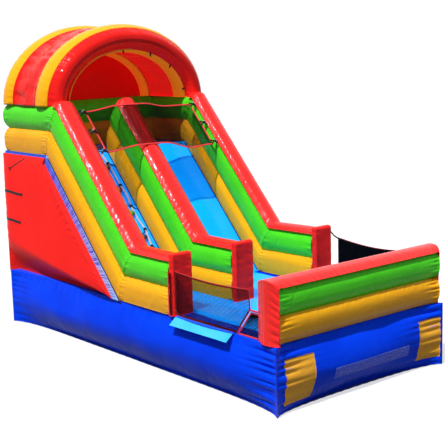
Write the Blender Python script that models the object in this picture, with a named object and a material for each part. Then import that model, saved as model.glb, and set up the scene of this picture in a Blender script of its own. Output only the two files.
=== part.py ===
# Inflatable water slide: a climbing lane beside a slide lane, a roofed deck and a walled landing.
# Metres, +Z up. X runs across the slide, -Y is the landing end and +Y the tower end.
# The origin is the middle of the base sheet's underside.

import math
from collections import namedtuple

import bmesh
import bpy
from mathutils import Vector

# Base
base_width = 3.05
base_length = 6.30
base_height = 0.86
base_tube_width = 0.42
base_bulge = 0.05
sheet_thickness = 0.006

# Slope and deck, along the line that the lanes follow
foot_y = 0.14
deck_front_y = 1.916
deck_height = 2.783

# Inflated tubes of the walls and rails
tube_width = 0.369
tube_height = 0.364
slope_seam_height = 0.305
tube_bulge = 0.062
cap_width = 0.345
cap_height = 0.08
wall_inset = 0.03
centre_wall_x = -0.2285
right_wall_lean = 0.07
right_cap_width = 0.30
right_cap_shift = 0.02
runout_front_y = -1.127
end_column_depth = 0.08
end_column_extra = 0.02
end_column_bulge = 0.036
skin = 0.03
round_width_share = 0.9
round_height_share = 0.6

# Beds
landing_bed_depth = 0.15
landing_bed_overrun = 0.04
incline_lip = 0.115
bed_depth = 0.15
deck_lip = 0.04
lane_sheet_thickness = 0.004
lane_sheet_edge = 0.006
baffle_thickness = 0.01
landing_baffle_x = 0.55
tower_baffle_x = 0.62

# Side and rear panels
panel_depth = 0.12
panel_crown = 0.025
panel_rear_overhang = 0.07

# Hood
hood_height = 1.168
hood_thickness = 0.369
front_ring_inset = 0.035
yellow_arch_rise = 0.03
yellow_arch_drop = 0.045
front_face_y = 1.70
front_red_length = 0.14
front_yellow_length = 0.33
roof_length = 0.69
yellow_bulge = 0.045
roof_bulge = 0.02
back_wall_depth = 0.05
back_wall_rear_gap = 0.06
back_wall_crown = 0.01

# Bumper
bumper_depth = 0.38
bumper_tube_height = 0.351
bumper_bulge = 0.06
bumper_cap_height = 0.085
bumper_end_share = 0.8

# Nets
net_thickness = 0.006
net_strand = 0.012
net_border = 0.035
net_cell = 0.12
net_rise = 0.015
door_inset = 0.045
door_length = 1.493
door_top_height = 0.61
door_corner_cut = 0.27
door_tie_height = 0.355
door_tie_width = 0.03
gusset_foot = 0.425
gusset_top = 0.15
gusset_gap = 0.012
side_net_gap = 0.16
side_net_height = 0.67
top_net_top_distance = 2.84
top_net_length = 0.80
top_net_side_gap = 0.126
top_net_sag = 0.11
tie_width = 0.03
tie_share = (0.04, 0.5, 0.96)

# Climbing rope, its route hand-picked as places across the lane and along Y
rope_diameter = 0.022
rope_step = 0.055
rope_route = [
    (-0.548, 1.86),
    (-0.535, 1.80),
    (-0.516, 1.71),
    (-0.512, 1.62),
    (-0.507, 1.50),
    (-0.498, 1.40),
    (-0.480, 1.30),
    (-0.508, 1.17),
    (-0.513, 1.08),
    (-0.507, 0.99),
    (-0.480, 0.86),
    (-0.499, 0.77),
    (-0.512, 0.68),
    (-0.516, 0.60),
    (-0.505, 0.52),
]

# Climbing holds
hold_x = -0.62
hold_length = 0.17
hold_width = 0.10
hold_height = 0.055
hold_round = 0.02
hold_top_y = 1.67
hold_spacing_y = 0.30

# Entry flap
flap_front_y = -2.31
flap_rear_y = -1.16
flap_length = 0.143
flap_thickness = 0.004
flap_droop = math.radians(39)

# Rear fittings
sleeve_x = -0.75
sleeve_height = 0.27
sleeve_radius = 0.15
sleeve_wall = 0.008
sleeve_length = 0.40
sleeve_cuff = 0.05
sleeve_cuff_rise = 0.008
zip_left_x = 0.25
zip_length = 0.60
zip_tape_width = 0.04
zip_tape_thickness = 0.003
slider_length = 0.03
slider_width = 0.016
slider_thickness = 0.010
slider_pull_length = 0.05
slider_pull_thickness = 0.002
slider_end_gap = 0.015
anchor_x = 1.25
anchor_strap_width = 0.045
anchor_strap_length = 0.075
anchor_strap_thickness = 0.003
anchor_eye_wall = 0.003
ring_rod = 0.008
ring_width = 0.066
ring_reach = 0.045
ring_clearance = 0.0006

# How finely the shapes are drawn, and the gap between pieces that touch
seam_gap = 0.0003
tube_arc_steps = 4
cap_arc_steps = 8
hood_steps = 18
ring_steps = 10
rod_sides = 8
sleeve_sides = 24
seam_draw_share = 0.965
ease_share = 0.06
crown_share = (0.0, 0.45, 0.8, 0.97, 1.0)
crown_inset_share = (0.0, 0.01, 0.06, 0.22, 0.5)

# Places that follow from the sizes above
half_width = base_width / 2
half_length = base_length / 2
base_inner_x = half_width - base_tube_width
base_inner_y = half_length - base_tube_width
wall_outer_x = half_width - wall_inset
side_wall_x = wall_outer_x - tube_width / 2
lane_half_width = wall_outer_x - tube_width
tube_seam_half = tube_width / 2 - tube_bulge
slope_angle = math.atan2(deck_height - base_height, deck_front_y - foot_y)
slope_length = math.hypot(deck_height - base_height, deck_front_y - foot_y)
rail_top = deck_height + 2 * tube_height
hood_base = rail_top + seam_gap
panel_inner_x = half_width - panel_crown - panel_depth
core_half = panel_inner_x - seam_gap

red = (0.90, 0.03, 0.03)
green = (0.08, 0.55, 0.04)
yellow = (0.93, 0.40, 0.02)
blue = (0.0, 0.045, 0.80)
cyan = (0.01, 0.45, 1.0)
lane_blue = (0.0, 0.20, 0.85)
black = (0.01, 0.01, 0.012)
grey = (0.55, 0.56, 0.58)
rope_colour = (0.75, 0.45, 0.42)
hold_black = (0.02, 0.02, 0.03)
hold_red = (0.45, 0.05, 0.03)
hold_green = (0.06, 0.35, 0.03)
hold_navy = (0.01, 0.03, 0.15)

# A station carries a cross-section: a profile point (u, v) lies at origin + across * u + up * v.
Station = namedtuple("Station", "origin across up")


def blend(first, second, share):
    return Station(*(a.lerp(b, share) for a, b in zip(first, second)))


def raised(station, height):
    return Station(station.origin + station.up * height, station.across, station.up)


def drawn(station, share):
    return Station(station.origin, station.across * share, station.up)


def leaned(station, distance):
    """The station with its top moved this far towards -X, measured at the height of the walls' caps."""
    return Station(station.origin, station.across, station.up - Vector((distance / (2 * tube_height), 0, 0)))


def eased(stations):
    """The stations with drawn-in sections at each seam and full ones just beside it."""
    found = [drawn(stations[0], seam_draw_share)]
    for first, second in zip(stations, stations[1:]):
        found.append(blend(first, second, ease_share))
        found.append(blend(first, second, 1 - ease_share))
        found.append(drawn(second, seam_draw_share))
    return found


def trimmed(stations):
    """The stations with both ends moved in by the gap that a seam keeps."""
    first_run = (stations[1].origin - stations[0].origin).length
    last_run = (stations[-1].origin - stations[-2].origin).length
    start = blend(stations[0], stations[1], seam_gap / first_run)
    end = blend(stations[-1], stations[-2], seam_gap / last_run)
    return [start] + stations[1:-1] + [end]


# Profiles


def tube_profile(width, height, bulge):
    """Flat where it meets the pieces below and above, with round sides."""
    side = []
    for step in range(tube_arc_steps + 1):
        angle = math.pi * (step / tube_arc_steps - 1 / 2)
        side.append((width / 2 - bulge + bulge * math.cos(angle), height / 2 * (1 + math.sin(angle))))
    return side + [(-u, v) for u, v in reversed(side)]


def cap_profile(width, height):
    """Flat below and domed above, widest a quarter of the way up."""
    centre = height / 4
    start = -math.asin(centre / (height - centre))
    end = math.pi - start
    found = []
    for step in range(cap_arc_steps + 1):
        angle = start + (end - start) * step / cap_arc_steps
        found.append((width / 2 * math.cos(angle), max(0, centre + (height - centre) * math.sin(angle))))
    return found


def inner_profile(profile, width, height):
    """The hollow inside a profile, one skin thickness in."""
    across = 1 - 2 * skin / width
    return [(u * across, skin + v * (1 - 2 * skin / height)) for u, v in profile]


def bed_profile(lip):
    """A bed whose lip reaches out over the side panels and whose core fits between them."""
    edge = wall_outer_x
    right = [(edge, 0), (edge, -lip), (core_half, -lip), (core_half, -bed_depth)]
    return right + [(-u, v) for u, v in reversed(right)]


# Solids


def material_for(name, colour, roughness=0.3, metallic=0.0):
    found = bpy.data.materials.get(name) or bpy.data.materials.new(name)
    found.use_nodes = True
    found.diffuse_color = (*colour, 1)
    shader = found.node_tree.nodes["Principled BSDF"]
    shader.inputs["Base Color"].default_value = (*colour, 1)
    shader.inputs["Roughness"].default_value = roughness
    shader.inputs["Metallic"].default_value = metallic
    return found


def add_object(name, shape, material, parent=None):
    """Turns a bmesh in world places into an object, under the empty that carries it, if any."""
    bmesh.ops.recalc_face_normals(shape, faces=shape.faces)
    if parent:
        bmesh.ops.translate(shape, verts=shape.verts, vec=-parent.location)
    mesh = bpy.data.meshes.new(name)
    shape.to_mesh(mesh)
    shape.free()
    mesh.shade_smooth()
    mesh.set_sharp_from_angle(angle=math.radians(35))
    mesh.materials.append(material)
    made = bpy.data.objects.new(name, mesh)
    bpy.context.collection.objects.link(made)
    made.parent = parent
    return made


def add_pivot(name, place):
    pivot = bpy.data.objects.new(name, None)
    pivot.location = place
    bpy.context.collection.objects.link(pivot)
    return pivot


def bridge(shape, rings, closed=False):
    pairs = list(zip(rings, rings[1:]))
    if closed:
        pairs.append((rings[-1], rings[0]))
    for first, second in pairs:
        for i in range(len(first)):
            j = (i + 1) % len(first)
            shape.faces.new((first[i], first[j], second[j], second[i]))


def add_rings(shape, stations, profile):
    rings = []
    for station in stations:
        places = [station.origin + station.across * u + station.up * v for u, v in profile]
        rings.append([shape.verts.new(place) for place in places])
    return rings


def loft(name, material, stations, profile, hollow=None, end_wall=0, parent=None):
    """A solid along the stations. With a hollow profile it is a skin, open at its start.
    Its far end is open too, unless an end wall is given."""
    shape = bmesh.new()
    outer = add_rings(shape, stations, profile)
    bridge(shape, outer)
    if hollow:
        last_run = (stations[-1].origin - stations[-2].origin).length
        hollow_end = blend(stations[-1], stations[-2], end_wall / last_run)
        inner = add_rings(shape, stations[:-1] + [hollow_end], hollow)
        bridge(shape, inner)
        bridge(shape, [outer[0], inner[0]])
        if end_wall:
            shape.faces.new(outer[-1])
            shape.faces.new(inner[-1])
        else:
            bridge(shape, [outer[-1], inner[-1]])
    else:
        shape.faces.new(outer[0])
        shape.faces.new(outer[-1])
    return add_object(name, shape, material, parent)


def tube(name, material, stations, width, height, bulge, end_wall=0):
    """An inflated tube with drawn-in seams at its ends and bends."""
    profile = tube_profile(width, height, bulge)
    hollow = inner_profile(profile, width, height)
    return loft(name, material, eased(trimmed(stations)), profile, hollow, end_wall)


def prism(name, material, outline, direction, parent=None):
    """The outline, a list of places in one plane, pushed along the direction."""
    shape = bmesh.new()
    near = [shape.verts.new(place) for place in outline]
    far = [shape.verts.new(place + direction) for place in outline]
    bridge(shape, [near, far])
    shape.faces.new(near)
    shape.faces.new(far)
    return add_object(name, shape, material, parent)


def box(name, material, low, high, parent=None):
    corners = [Vector((low[0], low[1], low[2])), Vector((high[0], low[1], low[2]))]
    corners += [Vector((high[0], high[1], low[2])), Vector((low[0], high[1], low[2]))]
    return prism(name, material, corners, Vector((0, 0, high[2] - low[2])), parent)


def join(target, others):
    """Adds the other solids to the target, each one overlapping it."""
    for other in others:
        other.hide_render = True
        other.display_type = "WIRE"
        union = target.modifiers.new(other.name, "BOOLEAN")
        union.operation = "UNION"
        union.object = other
    return target


def pillow(name, material, outline, outward, depth, crown):
    """A panel with a flat back on the outline and a crowned front towards outward."""
    middle = sum(outline, Vector()) / len(outline)
    shape = bmesh.new()
    rings = [[shape.verts.new(place) for place in outline]]
    for rise, inset in zip(crown_share, crown_inset_share):
        push = outward * (depth + crown * rise)
        rings.append([shape.verts.new(place.lerp(middle, inset) + push) for place in outline])
    bridge(shape, rings)
    shape.faces.new(rings[0])
    shape.faces.new(rings[-1])
    return add_object(name, shape, material)


def subdivided(outline, longest):
    """The outline with places added so that no side is longer than the length given."""
    found = []
    for first, second in zip(outline, outline[1:] + outline[:1]):
        count = max(1, math.ceil((second - first).length / longest))
        found += [first.lerp(second, i / count) for i in range(count)]
    return found


def net(name, material, place, across_count, up_count, across_size, up_size, parent=None):
    """A mesh panel: place(s, t) gives each point of its middle and its normal, s and t from 0 to 1."""

    def lattice(count, size):
        border = net_border / size
        strand = net_strand / size
        step = (1 - 2 * border - strand * (count - 1)) / count
        values = [0.0, border]
        for i in range(count - 1):
            values.append(values[-1] + step)
            values.append(values[-1] + strand)
        return values + [1 - border, 1.0]

    across = lattice(across_count, across_size)
    up = lattice(up_count, up_size)
    shape = bmesh.new()
    front, back = {}, {}
    for i, s in enumerate(across):
        for j, t in enumerate(up):
            middle, normal = place(s, t)
            front[i, j] = shape.verts.new(middle + normal * net_thickness / 2)
            back[i, j] = shape.verts.new(middle - normal * net_thickness / 2)
    cells = range(len(across) - 1)
    levels = range(len(up) - 1)
    solid = {(i, j) for i in cells for j in levels if i % 2 == 0 or j % 2 == 0}
    for i, j in solid:
        corners = ((i, j), (i + 1, j), (i + 1, j + 1), (i, j + 1))
        shape.faces.new([front[c] for c in corners])
        shape.faces.new([back[c] for c in reversed(corners)])
        sides = (((i, j - 1), 0, 1), ((i + 1, j), 1, 2), ((i, j + 1), 2, 3), ((i - 1, j), 3, 0))
        for neighbour, a, b in sides:
            if neighbour not in solid:
                shape.faces.new((front[corners[a]], back[corners[a]], back[corners[b]], front[corners[b]]))
    return add_object(name, shape, material, parent)


# The slope's line, as stations whose up is square to the surface in each straight run


def slope_point(distance, height, x=0):
    """A place on the slope, this far up from its foot and this high off its surface."""
    y = foot_y + distance * math.cos(slope_angle) - height * math.sin(slope_angle)
    z = base_height + distance * math.sin(slope_angle) + height * math.cos(slope_angle)
    return Vector((x, y, z))


def slope_distance(y):
    return (y - foot_y) / math.cos(slope_angle)


def line_station(kind, x=0):
    """front, foot, deck or rear: where the walls' and beds' line starts, bends and ends."""
    places = {
        "front": (runout_front_y + end_column_depth, base_height),
        "foot": (foot_y, base_height),
        "deck": (deck_front_y, deck_height),
        "rear": (half_length, deck_height),
    }
    lean = -math.tan(slope_angle / 2) if kind in ("foot", "deck") else 0
    y, z = places[kind]
    return Station(Vector((x, y, z)), Vector((1, 0, 0)), Vector((0, lean, 1)))


# Base


def make_base():
    sheet = material_for("base_sheet", blue, 0.45)
    side = material_for("base_vinyl", blue)
    sheet_x = half_width - base_bulge
    sheet_y = half_length - base_bulge
    low = (-sheet_x, -sheet_y, 0)
    box("base_sheet", sheet, low, (sheet_x, sheet_y, sheet_thickness))

    bottom = sheet_thickness + seam_gap
    inset = base_tube_width / 2
    corners = {}
    for x_sign in (-1, 1):
        for y_sign in (-1, 1):
            origin = Vector((x_sign * (half_width - inset), y_sign * (half_length - inset), bottom))
            corners[x_sign, y_sign] = Station(origin, Vector((x_sign, y_sign, 0)), Vector((0, 0, 1)))
    runs = {
        "base_left_tube": ((-1, -1), (-1, 1)),
        "base_right_tube": ((1, -1), (1, 1)),
        "base_front_tube": ((-1, -1), (1, -1)),
        "base_rear_tube": ((-1, 1), (1, 1)),
    }
    for name, (start, end) in runs.items():
        height = base_height - bottom
        tube(name, side, [corners[start], corners[end]], base_tube_width, height, base_bulge)


def make_beds():
    floor = material_for("bed_vinyl", lane_blue)
    web = material_for("baffle_fabric", grey, 0.6)
    bed_x = base_inner_x - seam_gap
    bed_front = -base_inner_y + seam_gap
    bed_rear = foot_y + bed_depth / math.sin(slope_angle) + landing_bed_overrun
    bed_bottom = base_height - landing_bed_depth
    bed = box("landing_bed", floor, (-bed_x, bed_front, bed_bottom), (bed_x, bed_rear, base_height))
    rounding = bed.modifiers.new("rounding", "BEVEL")
    rounding.width = landing_bed_depth / 5
    rounding.segments = 2
    rounding.limit_method = "ANGLE"

    foot, deck = line_station("foot"), line_station("deck")
    level_toe = Vector((0, -1 / math.sin(slope_angle), 0))
    toe = Station(slope_point(seam_gap / math.sin(slope_angle), 0), foot.across, level_toe)
    ends = [toe, blend(deck, foot, seam_gap / slope_length)]
    loft("incline_bed", floor, ends, bed_profile(incline_lip))

    loft("deck_bed", floor, trimmed([deck, line_station("rear")]), bed_profile(deck_lip))

    web_bottom = sheet_thickness + seam_gap
    web_rear = bed_rear - seam_gap
    for side, sign in (("left", -1), ("right", 1)):
        x = sign * landing_baffle_x - baffle_thickness / 2
        low = (x, bed_front, web_bottom)
        high = (x + baffle_thickness, web_rear, bed_bottom - seam_gap)
        box(f"landing_baffle_{side}", web, low, high)

    front = bed_rear + seam_gap
    under = bed_depth + seam_gap
    start_up = (front - foot_y + under * math.sin(slope_angle)) / math.cos(slope_angle)
    start = slope_point(start_up, -under)
    bend = deck.origin - deck.up * under
    panel_front_y = half_length + panel_rear_overhang - panel_crown - panel_depth - seam_gap
    for side, sign in (("left", -1), ("right", 1)):
        x = sign * tower_baffle_x - baffle_thickness / 2
        outline = [
            Vector((x, front, web_bottom)),
            Vector((x, base_inner_y - seam_gap, web_bottom)),
            Vector((x, base_inner_y - seam_gap, base_height + seam_gap)),
            Vector((x, panel_front_y, base_height + seam_gap)),
            Vector((x, panel_front_y, bend.z)),
            Vector((x, bend.y, bend.z)),
            Vector((x, start.y, start.z)),
        ]
        prism(f"tower_baffle_{side}", web, outline, Vector((baffle_thickness, 0, 0)))


def make_panels():
    vinyl = material_for("panel_vinyl", red)
    deck = line_station("deck")
    below = incline_lip + seam_gap
    bottom = base_height + seam_gap
    top = deck_height - deck_lip - seam_gap
    front = foot_y + (below + seam_gap * math.cos(slope_angle)) / math.sin(slope_angle)
    rear = half_length + panel_rear_overhang - panel_crown
    mitre_low = deck.origin - deck.up * below
    mitre_high = deck.origin - deck.up * (deck_lip + seam_gap)
    for side, sign in (("left", -1), ("right", 1)):
        x = sign * panel_inner_x
        outline = [
            Vector((x, front, bottom)),
            Vector((x, mitre_low.y, mitre_low.z)),
            Vector((x, mitre_high.y, top)),
            Vector((x, rear, top)),
            Vector((x, rear, bottom)),
        ]
        outline = subdivided(outline, base_height / 3)
        pillow(f"side_panel_{side}", vinyl, outline, Vector((sign, 0, 0)), panel_depth, panel_crown)

    rear_top = deck_height - bed_depth - seam_gap
    y = rear - panel_depth
    x = panel_inner_x - seam_gap
    outline = [
        Vector((-x, y, bottom)),
        Vector((x, y, bottom)),
        Vector((x, y, rear_top)),
        Vector((-x, y, rear_top)),
    ]
    outline = subdivided(outline, base_height / 3)
    pillow("rear_panel", vinyl, outline, Vector((0, 1, 0)), panel_depth, panel_crown)


# Walls and deck rails


def bend_point(kind, x, flat_height, slope_height):
    """Where a level line and a line up the slope meet, each at its own height above the bed."""
    y = (flat_height * math.cos(slope_angle) - slope_height) / math.sin(slope_angle)
    return line_station(kind, x).origin + Vector((0, y, flat_height))


def wall_station(kind, x, level, lean):
    """The section of a wall's yellow (0) or green (1) tube at a bend. Up the slope their seam is lower."""
    slope_low = (0, slope_seam_height)[level] + seam_gap
    slope_high = (slope_seam_height, 2 * tube_height)[level]
    low, high = level * tube_height + seam_gap, (level + 1) * tube_height
    bottom = bend_point(kind, x - lean * low / (2 * tube_height), low, slope_low)
    top = bend_point(kind, x - lean * high / (2 * tube_height), high, slope_high)
    return Station(bottom, Vector((1, 0, 0)), (top - bottom) / (tube_height - seam_gap))


def make_walls():
    shades = {
        "yellow": material_for("yellow_vinyl", yellow),
        "green": material_for("green_vinyl", green),
        "red": material_for("red_vinyl", red),
    }
    for side, x in (("left", -side_wall_x), ("centre", centre_wall_x), ("right", side_wall_x)):
        lean = right_wall_lean if side == "right" else 0
        front = line_station("front", x)
        end_wall = skin if side == "centre" else 0
        for level, shade in enumerate(("yellow", "green")):
            stations = [raised(front, level * tube_height + seam_gap)]
            stations += [wall_station(kind, x, level, lean) for kind in ("foot", "deck")]
            name = f"{side}_wall_{shade}_tube"
            height = tube_height - seam_gap
            tube(name, shades[shade], stations, tube_width, height, tube_bulge, end_wall)

        rise = 2 * tube_height + seam_gap
        line = [front] + [leaned(line_station(kind, x), lean) for kind in ("foot", "deck")]
        stations = [raised(station, rise) for station in line]
        if side != "centre":
            end = Vector((x - lean, front_face_y - seam_gap, rail_top + seam_gap))
            stations.append(Station(end, Vector((1, 0, 0)), Vector((0, 0, 1))))
        if side == "right":
            stations[1:] = [narrowed_cap(station) for station in stations[1:]]
        profile = cap_profile(cap_width, cap_height)
        loft(f"{side}_wall_red_cap", shades["red"], eased(trimmed(stations)), profile)
        make_end_column(f"{side}_wall_end", shades["red"], x)


def narrowed_cap(station):
    """The right wall's cap is narrower up the slope, mostly on its outer side."""
    origin = station.origin - Vector((right_cap_shift, 0, 0))
    return Station(origin, station.across * (right_cap_width / cap_width), station.up)


def make_end_column(name, material, x):
    """The upright cushion that closes the landing end of a wall, rounded over at its top."""
    height = 2 * tube_height + cap_height + end_column_extra
    depth = end_column_depth - seam_gap
    across, forward = Vector((1, 0, 0)), Vector((0, -1, 0))
    back = Vector((x, runout_front_y + end_column_depth - seam_gap, base_height + seam_gap))
    stations = [Station(back, across, forward)]
    shoulder = back + Vector((0, 0, height - end_column_depth / 2))
    stations.append(Station(shoulder, across, forward))
    top = back + Vector((0, 0, height))
    stations.append(Station(top, across * round_width_share, forward * round_height_share))
    loft(name, material, stations, tube_profile(tube_width, depth, end_column_bulge))


def make_deck_rails():
    shades = (material_for("yellow_vinyl", yellow), material_for("green_vinyl", green))
    upright = Vector((0, 0, 1))
    corner_y = half_length - tube_width / 2
    for level, shade in enumerate(("yellow", "green")):
        rise = level * tube_height + seam_gap
        corners = {}
        for side, sign in (("left", -1), ("right", 1)):
            origin = Vector((sign * side_wall_x, corner_y, deck_height + rise))
            corner = Station(origin, Vector((1, sign, 0)), upright)
            corners[side] = corner
            lean = right_wall_lean if side == "right" else 0
            front = wall_station("deck", sign * side_wall_x, level, lean)
            name = f"deck_{side}_rail_{shade}"
            tube(name, shades[level], [front, corner], tube_width, tube_height - seam_gap, tube_bulge)
        left = Station(corners["left"].origin, -corners["left"].across, upright)
        right = corners["right"]
        name = f"deck_rear_rail_{shade}"
        tube(name, shades[level], [left, right], tube_width, tube_height - seam_gap, tube_bulge)


# Hood over the deck


def hood_station(angle, y, along, inset=0, drop=0):
    """Across the hood's thickness less the inset, plus the drop, with the arch's length running along Y."""
    outer = Vector(((wall_outer_x - inset) * math.cos(angle), 0, (hood_height - inset) * math.sin(angle)))
    inner_x = wall_outer_x - hood_thickness - drop
    inner = Vector((inner_x * math.cos(angle), 0, (hood_height - hood_thickness - drop) * math.sin(angle)))
    across = (outer - inner) / hood_thickness
    return Station((outer + inner) / 2 + Vector((0, y, hood_base)), across, Vector((0, along, 0)))


def hood_angles():
    return [math.pi * step / hood_steps for step in range(hood_steps + 1)]


def make_hood():
    red_vinyl = material_for("hood_red_vinyl", red)
    yellow_vinyl = material_for("hood_yellow_vinyl", yellow)
    seam = front_face_y + front_red_length
    stations = [hood_station(angle, seam - seam_gap, -1, front_ring_inset) for angle in hood_angles()]
    loft("front_red_arch", red_vinyl, stations, cap_profile(hood_thickness, front_red_length - seam_gap))

    roof_front = seam + front_yellow_length
    roof_rear = roof_front + roof_length
    arches = (
        ("front_yellow_arch", yellow_vinyl, seam, roof_front, yellow_bulge, -yellow_arch_rise, yellow_arch_drop),
        ("red_roof", red_vinyl, roof_front, roof_rear, roof_bulge, 0, 0),
        ("rear_yellow_arch", yellow_vinyl, roof_rear, half_length, yellow_bulge, -yellow_arch_rise,
         yellow_arch_drop),
    )
    for name, material, start, end, bulge, inset, drop in arches:
        length = end - start - seam_gap
        profile = tube_profile(hood_thickness, length, bulge)
        stations = [hood_station(angle, start, 1, inset, drop) for angle in hood_angles()]
        loft(name, material, stations, profile, inner_profile(profile, hood_thickness, length))

    inner_x = wall_outer_x - hood_thickness - yellow_arch_drop - seam_gap
    inner_z = hood_height - hood_thickness - yellow_arch_drop - seam_gap
    y = half_length - back_wall_rear_gap
    outline = []
    for angle in hood_angles():
        outline.append(Vector((inner_x * math.cos(angle), y, hood_base + inner_z * math.sin(angle))))
    pillow("hood_back_wall", red_vinyl, outline, Vector((0, -1, 0)), back_wall_depth, back_wall_crown)


# Bumper across the landing end


def make_bumper():
    shades = (material_for("yellow_vinyl", yellow), material_for("green_vinyl", green))
    end_depth = bumper_cap_height * bumper_end_share
    inner_x = half_width - end_depth
    middle_y = -half_length + bumper_depth / 2
    across, upright = Vector((0, 1, 0)), Vector((0, 0, 1))
    for level, shade in enumerate(("yellow", "green")):
        z = base_height + level * bumper_tube_height + seam_gap
        ends = [Station(Vector((sign * inner_x, middle_y, z)), across, upright) for sign in (-1, 1)]
        height = bumper_tube_height - seam_gap
        tube(f"bumper_{shade}_tube", shades[level], ends, bumper_depth, height, bumper_bulge)

    seam_z = base_height + 2 * bumper_tube_height + seam_gap
    stations = []
    for sign in (-1, 1):
        outward = Vector((sign * bumper_end_share, 0, 0))
        foot = Station(Vector((sign * inner_x, middle_y, base_height + seam_gap)), across, outward)
        corner = Station(Vector((sign * inner_x, middle_y, seam_z)), across, outward + upright)
        stations += [foot, corner] if sign < 0 else [corner, foot]
    profile = cap_profile(bumper_depth, bumper_cap_height)
    loft("bumper_red_cap", material_for("red_vinyl", red), eased(stations), profile)


# Lane sheets


def make_lane_sheets():
    vinyl = material_for("lane_vinyl", cyan, 0.15)
    edge = lane_sheet_edge
    centre_left = centre_wall_x - tube_seam_half
    centre_right = centre_wall_x + tube_seam_half
    side_inner = side_wall_x - tube_seam_half
    lanes = {
        "climb_lane_sheet": (-side_inner + edge, centre_left - edge),
        "slide_lane_sheet": (centre_right + edge, side_inner - edge),
    }
    foot, deck = line_station("foot"), line_station("deck")
    for name, (left, right) in lanes.items():
        profile = [(left, 0), (right, 0), (right, lane_sheet_thickness), (left, lane_sheet_thickness)]
        foot_rise = seam_gap / math.cos(slope_angle / 2)
        stations = [raised(foot, foot_rise), raised(deck, foot_rise)]
        loft(name, vinyl, stations, profile)


# Nets


def make_top_net():
    mesh = material_for("net_mesh", black, 0.8)
    crest = 2 * tube_height + cap_height + 2 * seam_gap + net_thickness / 2
    centre_half = tube_width / 2
    bend_width = centre_half / 5
    net_half_width = lane_half_width - top_net_side_gap

    def height_at(x):
        """Flat over the centre wall and lower beside it, where the net sags over the lanes."""
        beside = abs(x - centre_wall_x) - centre_half
        span = net_half_width - abs(centre_wall_x) - centre_half
        return crest - top_net_sag * math.sin(math.pi / 2 * min(1, max(0, beside) / span)) ** 2

    def place(s, t):
        x = net_half_width * (2 * s - 1)
        slope = (height_at(x + bend_width) - height_at(x - bend_width)) / (2 * bend_width)
        normal = Vector((-slope, -math.sin(slope_angle), math.cos(slope_angle))).normalized()
        return slope_point(top_net_top_distance - top_net_length * (1 - t), height_at(x), x), normal

    across = round(2 * net_half_width / net_cell)
    up = round(top_net_length / net_cell)
    made = net("top_net", mesh, place, across, up, 2 * net_half_width, top_net_length)

    ties = []
    for sign in (-1, 1):
        for share in tie_share:
            along = top_net_top_distance - top_net_length * (1 - share)
            inner_x = sign * (net_half_width - net_border)
            low = height_at(inner_x) - net_thickness / 3
            high = 2 * tube_height - 2 * net_thickness
            tie_x = sign * (lane_half_width + tube_bulge / 2)
            if sign > 0:
                tie_x -= right_wall_lean * high / (2 * tube_height)
            outline = [
                slope_point(along - tie_width / 2, low, inner_x),
                slope_point(along + tie_width / 2, low, inner_x),
                slope_point(along + tie_width / 2, high, tie_x),
                slope_point(along - tie_width / 2, high, tie_x),
            ]
            up_push = slope_point(0, 2 * net_thickness / 3) - slope_point(0, 0)
            ties.append(prism(f"top_net_tie_{len(ties)}", mesh, outline, up_push))
    join(made, ties)


def make_door_net():
    """The entrance net, hinged on the left wall's end, with a cut lower corner at the bumper."""
    mesh = material_for("net_mesh", black, 0.8)
    x = -wall_outer_x + door_inset
    hinge_y = runout_front_y - 2 * seam_gap
    bottom = base_height + net_rise
    pivot = add_pivot("door_net_pivot", Vector((x - net_thickness / 2, hinge_y, bottom)))
    tie_y = hinge_y - door_length
    tie_share_up = (door_tie_height - net_rise) / (door_top_height - net_rise)

    def place(s, t):
        top_y = tie_y + door_tie_width / 2
        low_y = tie_y + door_corner_cut
        if t < tie_share_up:
            free_y = low_y + (tie_y - low_y) * t / tie_share_up
        else:
            free_y = tie_y + (top_y - tie_y) * (t - tie_share_up) / (1 - tie_share_up)
        y = hinge_y + (free_y - hinge_y) * s
        return Vector((x, y, bottom + (base_height + door_top_height - bottom) * t)), Vector((-1, 0, 0))

    height = door_top_height - net_rise
    across, up = round(door_length / net_cell), round(height / net_cell)
    made = net("entry_door_net", mesh, place, across, up, door_length, height, pivot)

    bumper_face = -half_length + bumper_depth + seam_gap
    z = base_height + door_tie_height
    low = (x - net_thickness / 3, bumper_face, z - door_tie_width / 2)
    high = (x + net_thickness / 3, tie_y + net_border, z + door_tie_width / 2)
    join(made, [box("door_net_tie", mesh, low, high, pivot)])

    foot_z = base_height + seam_gap
    apex_z = z - door_tie_width
    gusset_rear = bumper_face + gusset_foot
    clearance = gusset_gap + net_thickness

    def gusset_place(s, t):
        rear = gusset_rear + (bumper_face + gusset_top - gusset_rear) * t
        y = bumper_face + (rear - bumper_face) * s
        return Vector((x + clearance, y, foot_z + (apex_z - foot_z) * t)), Vector((-1, 0, 0))

    across, up = round(gusset_foot / net_cell), round((apex_z - foot_z) / net_cell)
    net("entry_gusset_net", mesh, gusset_place, across, up, gusset_foot, apex_z - foot_z)


def make_side_net():
    mesh = material_for("net_mesh", black, 0.8)
    x = wall_outer_x - door_inset
    rear_y = runout_front_y - side_net_gap
    front_y = -half_length + bumper_depth + seam_gap
    bottom = base_height + seam_gap
    top = base_height + side_net_height

    def place(s, t):
        return Vector((x, front_y + (rear_y - front_y) * s, bottom + (top - bottom) * t)), Vector((1, 0, 0))

    across = round((rear_y - front_y) / net_cell)
    up = round((top - bottom) / net_cell)
    made = net("side_net", mesh, place, across, up, rear_y - front_y, top - bottom)
    low = (x - net_thickness / 3, rear_y - net_border, top - tie_width)
    high = (x + net_thickness / 3, runout_front_y - 2 * seam_gap, top - tie_width / 5)
    join(made, [box("side_net_tie", mesh, low, high)])


# Climbing rope and holds


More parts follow.
